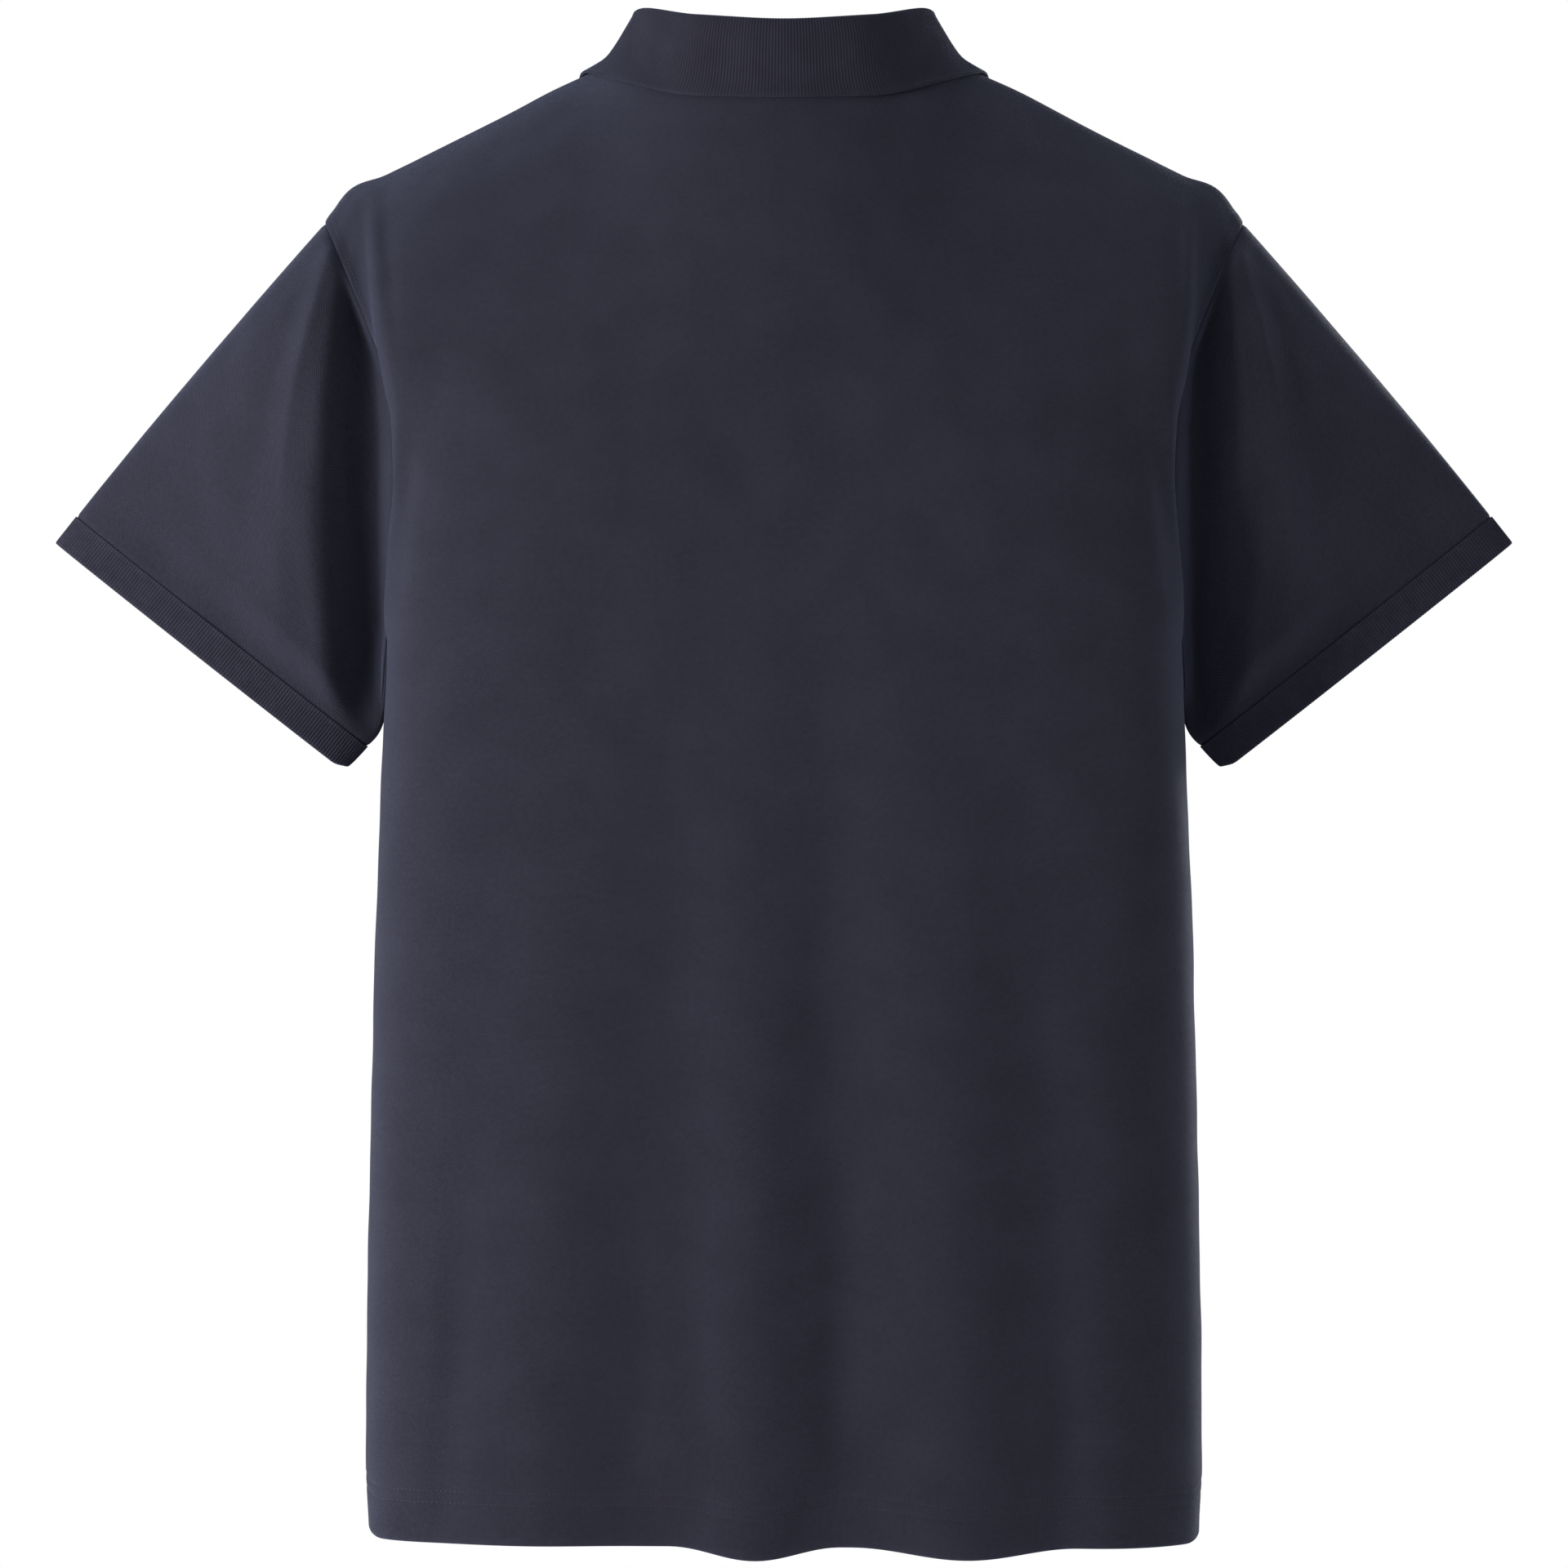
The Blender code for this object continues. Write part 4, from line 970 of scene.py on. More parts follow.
print("materials")
finish = {
    "navy": (0.0175, 0.0160, 0.0275),
    "navyPale": (0.046, 0.046, 0.074),
    "ribNavy": (0.0137, 0.0123, 0.0214),
    "wale": 1.25 * mm,  # width of one cell of the pique
    "course": 1.05 * mm,
    "weaveDepth": 0.42 * mm,
    "weaveStrength": 0.8,
    "cellRoundness": 0.8,
    "cellFuzz": 0.45,
    "cellShade": 0.45,
    "cellClouds": (1.6, -0.5),  # strength and offset of the uneven dye
    "stitchRow": 0.85 * mm,  # length of one knitted stitch of the ribs
    "stitchSlant": 1.6,
    "ribDepth": 0.2 * mm,
    "ribStrength": 0.7,
    "ribFuzz": 0.5,
    "ribShade": 0.55,
    "ribClouds": (0.9, -0.2),
    "wander": 0.55 * mm,  # how far a yarn strays from its place
    "wanderScale": 190.0,
    "fuzzScale": 2600.0,
    "cloudScale": 34.0,
    "fleckScale": 420.0,
    "ribCloudScale": 60.0,
    "paleSpotScale": 240.0,
    "paleSpotUneven": (1.5, -0.35),
    "rubbedAndLit": 0.5,  # how much of the paler colour full wear, and the cuffs' painted light, let through
    "shading": 0.4,  # and how much the yarns' tops do, as painted shade that leaves the furrows darker
    "clothRoughness": (0.92, 0.76),  # from the furrows to the yarns' tops
    "sheen": 0.22,
    "sheenTint": (0.50, 0.58, 0.90, 1),
    "sheenRoughness": 0.42,
    "specular": 0.22,
    "buttonColour": (0.012, 0.012, 0.021),
    "buttonCloud": (0.01948, 0.01948, 0.03266),
    "buttonRoughness": (0.22, 0.46),
    "buttonCoat": 0.25,
    "buttonCoatRoughness": 0.18,
    "threadColour": (0.022, 0.021, 0.034),
    "threadRoughness": (0.55, 0.8),
    "threadSheen": 0.3,
    "floorColour": (0.86, 0.86, 0.87),
    "floorCloud": (0.83, 0.83, 0.84),
    "floorRoughness": (0.85, 0.95),
}


def feed(tree, value, socket):
    # links a socket to another one, or gives it a plain value
    if isinstance(value, bpy.types.NodeSocket):
        tree.links.new(value, socket)
    else:
        socket.default_value = value


def addNode(tree, kind, inputs=None, **settings):
    node = tree.nodes.new(kind)
    for key, value in settings.items():
        setattr(node, key, value)
    for key, value in (inputs or {}).items():
        if value is not None:
            feed(tree, value, node.inputs[key])
    return node


def addMath(tree, operation, *values):
    return addNode(tree, "ShaderNodeMath", dict(enumerate(values)), operation=operation).outputs[0]


def addVectorMath(tree, operation, first, second=None, scale=None):
    inputs = {0: first, 1: second, "Scale": scale}
    return addNode(tree, "ShaderNodeVectorMath", inputs, operation=operation).outputs[0]


def addNoise(tree, place, scale, detail, output="Fac"):
    inputs = {"Vector": place, "Scale": scale, "Detail": detail}
    return addNode(tree, "ShaderNodeTexNoise", inputs).outputs[output]


def addMix(tree, part, first, second):
    inputs = {"Factor": part, 6: first, 7: second}  # 6 and 7 are its two colours
    return addNode(tree, "ShaderNodeMix", inputs, data_type="RGBA").outputs[2]


def addRange(tree, value, low, high):
    inputs = {"Value": value, "To Min": low, "To Max": high}
    return addNode(tree, "ShaderNodeMapRange", inputs).outputs["Result"]


def addBump(tree, height, depth, strength, shader):
    inputs = {"Height": height, "Distance": depth, "Strength": strength}
    feed(tree, addNode(tree, "ShaderNodeBump", inputs).outputs["Normal"], shader.inputs["Normal"])


def addGroup(tree, group, inputs):
    return addNode(tree, "ShaderNodeGroup", inputs, node_tree=group).outputs


def readAttribute(tree, name):
    return addNode(tree, "ShaderNodeAttribute", attribute_name=name).outputs["Fac"]


def newGroup(name, inputs, outputs):
    tree = bpy.data.node_groups.new(name, "ShaderNodeTree")
    for side, sockets in (("INPUT", inputs), ("OUTPUT", outputs)):
        for socket, kind in sockets.items():
            tree.interface.new_socket(socket, in_out=side, socket_type="NodeSocket" + kind)
    return tree, tree.nodes.new("NodeGroupInput").outputs, tree.nodes.new("NodeGroupOutput").inputs


def wavy(tree, place):
    # shifts a place along the cloth a little, as real yarns wander
    drift = addNoise(tree, place, finish["wanderScale"], 2.0, "Color")
    shift = addVectorMath(tree, "SUBTRACT", drift, (0.5, 0.5, 0.5))
    return addVectorMath(tree, "ADD", place, addVectorMath(tree, "SCALE", shift, scale=finish["wander"]))


def makeWeaveGroup():
    # rows of small raised cells, each row set half a cell beside the last
    inputs = {"Place": "Vector", "Wale": "Float", "Course": "Float"}
    tree, given, result = newGroup("piqueWeave", inputs, {"Height": "Float", "FurrowShadeAndDye": "Float"})
    place = addNode(tree, "ShaderNodeSeparateXYZ", {0: wavy(tree, given["Place"])}).outputs
    waves = []
    for axis, size in (("X", "Wale"), ("Y", "Course")):
        turns = addMath(tree, "DIVIDE", place[axis], given[size])
        waves.append(addMath(tree, "COSINE", addMath(tree, "MULTIPLY", turns, 2 * math.pi)))
    cells = addMath(tree, "MULTIPLY_ADD", addMath(tree, "MULTIPLY", *waves), 0.5, 0.5)
    fuzz = addNoise(tree, given["Place"], finish["fuzzScale"], 3.0)
    tops = addMath(tree, "POWER", cells, finish["cellRoundness"])
    feed(tree, addMath(tree, "MULTIPLY_ADD", fuzz, finish["cellFuzz"], tops), result["Height"])
    # the tone: painted shade, with the cells' tops paler and the furrows between them darker, over uneven
    # dye clouds
    slow = addNoise(tree, given["Place"], finish["cloudScale"], 3.0)
    quick = addNoise(tree, given["Place"], finish["fleckScale"], 2.0)
    both = addMath(tree, "MULTIPLY_ADD", slow, 0.5, addMath(tree, "MULTIPLY", quick, 0.5))
    uneven = addMath(tree, "MULTIPLY_ADD", both, *finish["cellClouds"])
    feed(tree, addMath(tree, "MULTIPLY_ADD", cells, finish["cellShade"], uneven), result["FurrowShadeAndDye"])
    return tree


def makeRibGroup():
    # small slanting stitches that run down each rib and meet in its middle
    inputs = {"Place": "Vector", "Rib": "Float", "Stitch": "Float"}
    tree, given, result = newGroup("ribYarn", inputs, {"Height": "Float", "FurrowShadeAndDye": "Float"})
    place = addNode(tree, "ShaderNodeSeparateXYZ", {0: wavy(tree, given["Place"])}).outputs
    part = addMath(tree, "FRACT", addMath(tree, "ADD", given["Rib"], 0.5))
    aside = addMath(tree, "ABSOLUTE", addMath(tree, "SUBTRACT", part, 0.5))
    rows = addMath(tree, "DIVIDE", place["Y"], given["Stitch"])
    slanted = addMath(tree, "MULTIPLY_ADD", aside, finish["stitchSlant"], rows)
    wave = addMath(tree, "SINE", addMath(tree, "MULTIPLY", slanted, 2 * math.pi))
    wave = addMath(tree, "MULTIPLY_ADD", wave, 0.5, 0.5)
    top = addMath(tree, "SUBTRACT", 1.0, addMath(tree, "MULTIPLY", aside, 2.0))
    fuzz = addNoise(tree, given["Place"], finish["fuzzScale"], 3.0)
    stitches = addMath(tree, "MULTIPLY", wave, top)
    feed(tree, addMath(tree, "MULTIPLY_ADD", fuzz, finish["ribFuzz"], stitches), result["Height"])
    # the tone: painted shade, with each rib's top paler and its furrows darker, over uneven dye clouds
    slow = addNoise(tree, given["Place"], finish["ribCloudScale"], 3.0)
    uneven = addMath(tree, "MULTIPLY_ADD", slow, *finish["ribClouds"])
    feed(tree, addMath(tree, "MULTIPLY_ADD", top, finish["ribShade"], uneven), result["FurrowShadeAndDye"])
    return tree


def makeWornLitAndShadedGroup():
    # makes a colour paler where the cloth is worn and where it carries painted light (the cuffs), in an
    # uneven way; the yarns' tops are paler as painted shade of the furrows
    inputs = {"Place": "Vector", "Dark": "Color", "Pale": "Color", "FurrowShadeAndDye": "Float", "WearAndPaintedLight": "Float"}
    tree, given, result = newGroup("wornLitAndShadedCloth", inputs, {"Colour": "Color", "Roughness": "Float"})
    spots = addNoise(tree, given["Place"], finish["paleSpotScale"], 4.0)
    uneven = addMath(tree, "MULTIPLY_ADD", spots, *finish["paleSpotUneven"])
    wornAndLit = addMath(tree, "MULTIPLY", given["WearAndPaintedLight"], uneven)
    rubbedAndLit = addMath(tree, "MULTIPLY", wornAndLit, finish["rubbedAndLit"])
    part = addMath(tree, "MULTIPLY_ADD", given["FurrowShadeAndDye"], finish["shading"], rubbedAndLit)
    feed(tree, addMix(tree, part, given["Dark"], given["Pale"]), result["Colour"])
    feed(tree, addRange(tree, given["FurrowShadeAndDye"], *finish["clothRoughness"]), result["Roughness"])
    return tree


def newMaterial(name):
    material = bpy.data.materials.new(name)
    material.use_nodes = True
    return material, material.node_tree, material.node_tree.nodes["Principled BSDF"]


def makeCloth(name, dark, yarnGroup, sizes, attributes, depth, strength):
    # a knit whose yarns, worn colour and painted light and shade follow the cloth; attributes feed the yarn
    # group too
    material, tree, shader = newMaterial(name)
    place = addNode(tree, "ShaderNodeUVMap", uv_map="clothPlace").outputs["UV"]
    read = {socket: readAttribute(tree, attribute) for socket, attribute in attributes.items()}
    yarn = addGroup(tree, yarnGroup, {"Place": place, **sizes, **read})
    colours = {"Dark": (*dark, 1), "Pale": (*finish["navyPale"], 1)}
    marks = {"Place": place, "FurrowShadeAndDye": yarn["FurrowShadeAndDye"], "WearAndPaintedLight": readAttribute(tree, "wearAndPaintedLight")}
    look = addGroup(tree, wornLitAndShadedCloth, {**colours, **marks})
    feed(tree, look["Colour"], shader.inputs["Base Color"])
    feed(tree, look["Roughness"], shader.inputs["Roughness"])
    addBump(tree, yarn["Height"], depth, strength, shader)
    shader.inputs["Sheen Weight"].default_value = finish["sheen"]
    shader.inputs["Sheen Roughness"].default_value = finish["sheenRoughness"]
    shader.inputs["Sheen Tint"].default_value = finish["sheenTint"]
    shader.inputs["Specular IOR Level"].default_value = finish["specular"]
    return material


def makeCloudy(name, dark, pale, cloud, polish, roughness, relief=None):
    # two colours that run into each other, with an uneven polish; cloud, polish and relief
    # start with the scale and detail of their noise
    material, tree, shader = newMaterial(name)
    place = addNode(tree, "ShaderNodeTexCoord").outputs["Object"]
    colour = addMix(tree, addNoise(tree, place, *cloud), (*dark, 1), (*pale, 1))
    feed(tree, colour, shader.inputs["Base Color"])
    feed(tree, addRange(tree, addNoise(tree, place, *polish), *roughness), shader.inputs["Roughness"])
    if relief:
        scale, detail, depth, strength = relief
        addBump(tree, addNoise(tree, place, scale, detail), depth, strength, shader)
    return material, shader


def makePlastic():
    grains = {"cloud": (260.0, 4.0), "polish": (900.0, 5.0), "relief": (2400.0, 3.0, 0.02 * mm, 0.35)}
    colours = finish["buttonColour"], finish["buttonCloud"]
    material, shader = makeCloudy("buttonPlastic", *colours, roughness=finish["buttonRoughness"], **grains)
    shader.inputs["Coat Weight"].default_value = finish["buttonCoat"]
    shader.inputs["Coat Roughness"].default_value = finish["buttonCoatRoughness"]
    return material


def makeThread():
    grains = {"cloud": (1200.0, 3.0), "polish": (1200.0, 3.0), "relief": (5200.0, 2.0, 0.06 * mm, 0.6)}
    colours = finish["navy"], finish["threadColour"]
    material, shader = makeCloudy("sewingThread", *colours, roughness=finish["threadRoughness"], **grains)
    shader.inputs["Sheen Weight"].default_value = finish["threadSheen"]
    return material


wornLitAndShadedCloth = makeWornLitAndShadedGroup()
knit = makeCloth(
    "piqueKnit", finish["navy"], makeWeaveGroup(), {"Wale": finish["wale"], "Course": finish["course"]}, {},
    finish["weaveDepth"], finish["weaveStrength"])
rib = makeCloth(
    "ribKnit", finish["ribNavy"], makeRibGroup(), {"Stitch": finish["stitchRow"]}, {"Rib": "ribPlace"},
    finish["ribDepth"], finish["ribStrength"])
plastic, thread = makePlastic(), makeThread()


def newTree(name, sizes):
    # a Geometry Nodes tree with named sizes, in metres, and a material
    tree = bpy.data.node_groups.new(name, "GeometryNodeTree")
    tree.interface.new_socket("Geometry", in_out="INPUT", socket_type="NodeSocketGeometry")
    for label, value in sizes.items():
        socket = tree.interface.new_socket(label, in_out="INPUT", socket_type="NodeSocketFloat")
        socket.default_value = value
    tree.interface.new_socket("Material", in_out="INPUT", socket_type="NodeSocketMaterial")
    tree.interface.new_socket("Geometry", in_out="OUTPUT", socket_type="NodeSocketGeometry")
    return tree, tree.nodes.new("NodeGroupInput").outputs


def closeTree(tree, given, geometry):
    real = addNode(tree, "GeometryNodeRealizeInstances", {0: geometry}).outputs[0]
    inputs = {"Geometry": real, "Material": given["Material"]}
    painted = addNode(tree, "GeometryNodeSetMaterial", inputs).outputs[0]
    addNode(tree, "NodeGroupOutput", {"Geometry": painted})
    return tree


def namedField(tree, name, kind):
    node = addNode(tree, "GeometryNodeInputNamedAttribute", {"Name": name}, data_type=kind)
    return next(socket for socket in node.outputs if socket.enabled and socket.name == "Attribute")


def makeRibbingTree():
    # sinks the furrows between the ribs, along the normals of both faces of the cloth
    tree, given = newTree("ribbing", {"Depth": 1.0})
    turns = addMath(tree, "MULTIPLY", namedField(tree, "ribPlace", "FLOAT"), 2 * math.pi)
    furrow = addMath(tree, "SUBTRACT", addMath(tree, "COSINE", turns), 1.0)
    depth = addMath(tree, "MULTIPLY", namedField(tree, "ribDepth", "FLOAT"), given["Depth"])
    sunk = addMath(tree, "MULTIPLY", addMath(tree, "MULTIPLY", furrow, 0.5), depth)
    normal = addNode(tree, "GeometryNodeInputNormal").outputs[0]
    offset = addVectorMath(tree, "SCALE", normal, scale=sunk)
    moved = addNode(tree, "GeometryNodeSetPosition", {"Geometry": given["Geometry"], "Offset": offset})
    return closeTree(tree, given, moved.outputs["Geometry"])


def alignTo(tree, aim, axis, rotation=None, pivot="AUTO"):
    inputs = {"Vector": aim, "Rotation": rotation}
    node = addNode(tree, "FunctionNodeAlignRotationToVector", inputs, axis=axis, pivot_axis=pivot)
    return node.outputs["Rotation"]


stitch = {
    "size": {"Pitch": 2.3 * mm, "Length": 1.6 * mm, "Width": 0.5 * mm, "Height": 0.45 * mm},
    "blank": {"Segments": 6, "Rings": 4, "Radius": 0.5},
    "shortest": 0.86,  # shares of the length between which single stitches vary
    "longest": 1.08,
    "seed": 11,
}


def makeStitchTree():
    # lays short rounded stitches end to end along every line of a mesh
    tree, given = newTree("stitchRow", stitch["size"])
    curve = addNode(tree, "GeometryNodeMeshToCurve", {"Mesh": given["Geometry"]}).outputs["Curve"]
    inputs = {"Curve": curve, "Length": given["Pitch"]}
    spaced = addNode(tree, "GeometryNodeResampleCurve", inputs, mode="LENGTH").outputs["Curve"]
    blank = addNode(tree, "GeometryNodeMeshUVSphere", stitch["blank"]).outputs["Mesh"]
    smooth = addNode(tree, "GeometryNodeSetShadeSmooth", {"Geometry": blank})
    uneven = addNode(tree, "FunctionNodeRandomValue", {"Seed": stitch["seed"]}, data_type="FLOAT")
    low, high = (socket for socket in uneven.inputs if socket.enabled and socket.name in ("Min", "Max"))
    low.default_value, high.default_value = stitch["shortest"], stitch["longest"]
    chance = next(socket for socket in uneven.outputs if socket.enabled)
    length = addMath(tree, "MULTIPLY", given["Length"], chance)
    size = addNode(tree, "ShaderNodeCombineXYZ", {"X": length, "Y": given["Width"], "Z": given["Height"]})
    ahead = alignTo(tree, addNode(tree, "GeometryNodeInputTangent").outputs[0], "X")
    turned = alignTo(tree, namedField(tree, "up", "FLOAT_VECTOR"), "Z", ahead, "X")
    placed = addNode(tree, "GeometryNodeInstanceOnPoints", {
        "Points": spaced,
        "Instance": smooth.outputs["Geometry"],
        "Rotation": turned,
        "Scale": size.outputs["Vector"],
    })
    return closeTree(tree, given, placed.outputs["Instances"])


def makeCordTree():
    # a round cord along every line of a mesh
    tree, given = newTree("threadCord", {"Radius": 0.17 * mm})
    curve = addNode(tree, "GeometryNodeMeshToCurve", {"Mesh": given["Geometry"]}).outputs["Curve"]
    inputs = {"Resolution": 6, "Radius": given["Radius"]}
    ring = addNode(tree, "GeometryNodeCurvePrimitiveCircle", inputs).outputs["Curve"]
    inputs = {"Curve": curve, "Profile Curve": ring, "Fill Caps": True}
    tube = addNode(tree, "GeometryNodeCurveToMesh", inputs)
    smooth = addNode(tree, "GeometryNodeSetShadeSmooth", {"Geometry": tube.outputs["Mesh"]})
    return closeTree(tree, given, smooth.outputs["Geometry"])


def applyTree(piece, tree, material, sizes):
    # runs a tree on a piece and keeps the plain mesh that it makes
    maker = piece.modifiers.new(tree.name, "NODES")
    maker.node_group = tree
    for item in tree.interface.items_tree:
        if item.in_out == "INPUT" and item.name in sizes:
            maker[item.identifier] = sizes[item.name]
        if item.in_out == "INPUT" and item.name == "Material":
            maker[item.identifier] = material
    graph = bpy.context.evaluated_depsgraph_get()
    seen = piece.evaluated_get(graph)
    made = bpy.data.meshes.new_from_object(seen, preserve_all_data_layers=True, depsgraph=graph)
    piece.modifiers.remove(maker)
    made.name = piece.name
    made.materials.clear()
    made.materials.append(material)
    piece.data = made
    return piece


ribbing, stitchRow, threadCord = makeRibbingTree(), makeStitchTree(), makeCordTree()


def drawLines(name, lines):
    # a mesh of open lines, each a row of points and the directions that face off the cloth
    points, ups, edges = [], [], []
    for line, up in lines:
        edges += [(len(points) + index, len(points) + index + 1) for index in range(len(line) - 1)]
        points += (line * mm).tolist()
        ups += up.tolist()
    mesh = bpy.data.meshes.new(name)
    mesh.from_pydata(points, edges, [])
    up = mesh.attributes.new("up", "FLOAT_VECTOR", "POINT")
    up.data.foreach_set("vector", np.array(ups, np.float32).ravel())
    return addObject(name, mesh)


print("panels")
panels, levels, shares, stripEnds = finePanels()
back, backNormals = panels[1]
front, frontNormals = panels[-1]
sleeve, sleeveNormals, outlet = makeSleeve(back, front, len(levels) - 1)


def neckSlice(skin, columns):
    middle = skin.shape[1] // 2
    return slice(middle - columns, middle + columns + 1)


def slantSeams(backOut, frontOut, sleeveOut):
    # each seam gets one slant of wall for all the pieces that it joins; only the edges can meet
    neck = neckSlice(back, panelGrid["neckColumns"] * panelGrid["finer"])
    pieces = []
    for skin, out in ((back, backOut), (front, frontOut)):
        pieces += [(skin[:-1, 0], out[:-1, 0]), (skin[:-1, -1], out[:-1, -1]), (skin[-1], out[-1])]
    sleeves = [(sleeve[0] * flip, sleeveOut[0] * flip) for flip in (left, right)]
    stands = [(skin[-1, neck], standDirections(skin[-1, neck])) for skin in (back, front)]
    shareSlants(pieces + sleeves + stands)
    sleeveOut[0] = sleeves[0][1]


def panelWalls():
    turned = np.zeros(len(levels) + len(shares) - 1, bool)
    turned[: len(levels)] = levels <= bodyCut["hemLevel"] + bodyCut["hemTurn"]
    return np.where(turned, cloth["hemWall"], cloth["wall"])[:, None, None]


def placketSlot(skin):
    # the faces of the front panel that the slit under the placket leaves out
    place = np.arange(skin.shape[1] - 1) - skin.shape[1] // 2 + 0.5
    rows = np.arange(len(skin) - 1) >= len(levels) - 1 + np.searchsorted(shares, max(stripEnds))
    return rows[:, None] & (abs(place) < panelGrid["finer"])[None, :]


def buildPanel(name, face, out):
    skin, normals = panels[face]
    inward = -out * panelWalls()
    trimmed = trimPanel(skin, normals)
    along, across = distances(trimmed)
    toSide = np.minimum(across, across[:, -1:] - across)
    fromMiddle = abs(np.arange(skin.shape[1]) - skin.shape[1] // 2)[None, :]
    onShoulder = fromMiddle >= panelGrid["neckColumns"] * panelGrid["finer"]
    near = np.where(onShoulder, np.minimum(toSide, along[-1] - along), toSide)
    moved = turnIn(trimmed, inward, near)
    along, _ = distances(skin)
    thin = edgeThin(along, cloth["hemWall"])
    # the cloth is rubbed a little paler along its hem
    wearAndPaintedLight = hemDetail["wearAndPaintedLight"] * np.exp(-((along / hemDetail["wearReach"]) ** 2))
    holes = placketSlot(skin) if face < 0 else None
    return shell(name, moved, inward, knit, holes=holes, thin=thin, values={"wearAndPaintedLight": wearAndPaintedLight}), moved


backOut, frontOut, sleeveOut = backNormals.copy(), frontNormals.copy(), sleeveNormals.copy()
slantSeams(backOut, frontOut, sleeveOut)
backPanel, backSkin = buildPanel("backPanel", 1, backOut)
frontPanel, frontSkin = buildPanel("frontPanel", -1, frontOut)

print("sleeves and cuffs")
cuff, cuffNormals = makeCuff(sleeve, outlet)
sleeveOut[-1] = unit(sleeveNormals[-1] + unit(sleeve[-1] - sleeve[-1].mean(axis=0)))

# The long fold under the shoulder tip: a hollow beside the body, the crest outside it,
# and a crisp ridge that runs down from the tip
SleeveFold = namedtuple("SleeveFold", "level hollowX crestX hollow crest ridgeX ridge ridgeWidth")
sleeveFolds = (
    SleeveFold(-350, 199, 222, -12, 6, 248, 1.4, 30),
    SleeveFold(-300, 198, 227, -14, 8, 247, 1.6, 27),
    SleeveFold(-250, 198, 231, -15, 9, 245, 2.0, 23),
    SleeveFold(-215, 198, 231, -15, 9, 243, 2.6, 19),
    SleeveFold(-185, 198, 228, -15, 7, 240, 3.6, 15),
    SleeveFold(-160, 200, 224, -14, 6, 236, 4.8, 12),
    SleeveFold(-133, 203, 221, -12, 4, 230, 5.4, 10),
    SleeveFold(-110, 206, 219, -8, 2, 224, 4.6, 9),
    SleeveFold(-92, 210, 220, -4, 1, 220, 2.6, 9),
    SleeveFold(-70, 213, 222, 0, 0, 219, 0, 9),
)

sleeveDetail = {
    "innerWidth": 10.0,  # how far the hollow reaches towards the body
    "outerWidth": 100.0,  # and the crest towards the cuff's upper end
    "ridgeCurve": 1.5,
    "ridgeLee": 1.7,  # how much wider the ridge falls off on its inner side
    "onset": 36.0,  # the fold sets in and ends within one part in so many of the length
    "ending": 6.5,
    "faceSharpness": 1.6,
    "ripple": 0.5,
    "rippleLength": 34.0,
    "rippleCount": 6,
    "rippleCurve": 0.6,
    "outlineCalm": 1.4,
    "seamCalm": 12,
    "sag": 15.0,  # how far the cloth under the arm hangs below a straight line
    "sagReach": 0.16,  # share of the ring on each side of the underarm that it takes along
    "sagLean": 0.8,
    "sagCurve": 1.2,
}


def foldLift(x, z):
    # how far the long fold lifts the cloth off the plain sleeve
    detail, table = sleeveDetail, np.array(sleeveFolds).T
    hollowX, crestX, hollow, crest, ridgeX, ridge, ridgeWidth = (
        np.interp(z, table[0], column) for column in table[1:]
    )
    lift = hollow + (crest - hollow) * ease((x - hollowX) / (crestX - hollowX))
    lift = np.where(x < hollowX, hollow * swell((x - hollowX) / detail["innerWidth"]), lift)
    lift = np.where(x > crestX, crest * swell((x - crestX) / detail["outerWidth"]), lift)
    aside = np.where(x > ridgeX, x - ridgeX, (ridgeX - x) / detail["ridgeLee"]) / ridgeWidth
    return lift + ridge * np.clip(1 - aside, 0, 1) ** detail["ridgeCurve"]


def sleeveCreases(skin, normals, seed):
    detail = sleeveDetail
    along, across = distances(skin, ring=True)
    across = across[:, :-1]
    part = np.linspace(0, 1, len(skin))[:, None]
    wave = detail["ripple"] * ripple(across, along, detail["rippleLength"], detail["rippleCount"], seed)
    around = across / (across[:, -1:] + 1)
    ringCalm = ease(around * detail["seamCalm"]) * ease((1 - around) * detail["seamCalm"])
    broad = ease(abs(normals[..., 1]) * detail["outlineCalm"])
    wave = wave * broad * np.sin(part * math.pi) ** detail["rippleCurve"] * ringCalm
    moved = skin + normals * wave[..., None]
    side = np.clip(normals[..., 1] * detail["faceSharpness"], -1, 1)
    reach = ease(part * detail["onset"]) * ease((1 - part) * detail["ending"])
    moved[..., 1] += foldLift(skin[..., 0], skin[..., 2]) * side * reach * ringCalm
    under = swell(np.minimum(around, 1 - around) / detail["sagReach"])
    hang = np.sin(part ** detail["sagLean"] * math.pi) ** detail["sagCurve"]
    moved[..., 2] -= detail["sag"] * under * hang
    return moved


def buildSleeve(side, flip, seed):
    skin = sleeveCreases(sleeve, sleeveNormals, seed)
    for row, inner in ((0, 1), (-1, -2)):
        skin[row] += pullBack(sleeve[row], sleeve[inner], sleeveNormals[row], cloth["seamGap"], ring=True)
    inward = -sleeveOut * cloth["wall"]
    along, _ = distances(skin, ring=True)
    skin = turnIn(skin, inward, np.minimum(along, along[-1] - along))
    values = {"wearAndPaintedLight": np.zeros(along.shape)}
    return shell(f"sleeve{side}", skin * flip, inward * flip, knit, ring=True, values=values)


def ribValues(skin, cut, fade, wearAndPaintedLight=0.0):
    # a number for each column of points, a whole one at the top of every rib
    count = np.arange(skin.shape[1]) / cut["ribColumns"]
    return {
        "ribPlace": np.broadcast_to(count, skin.shape[:2]).copy(),
        "ribDepth": fade * cut["ribDepth"] * mm,
        "wearAndPaintedLight": (1 - fade) * cut["furrowWear"] + wearAndPaintedLight,
    }


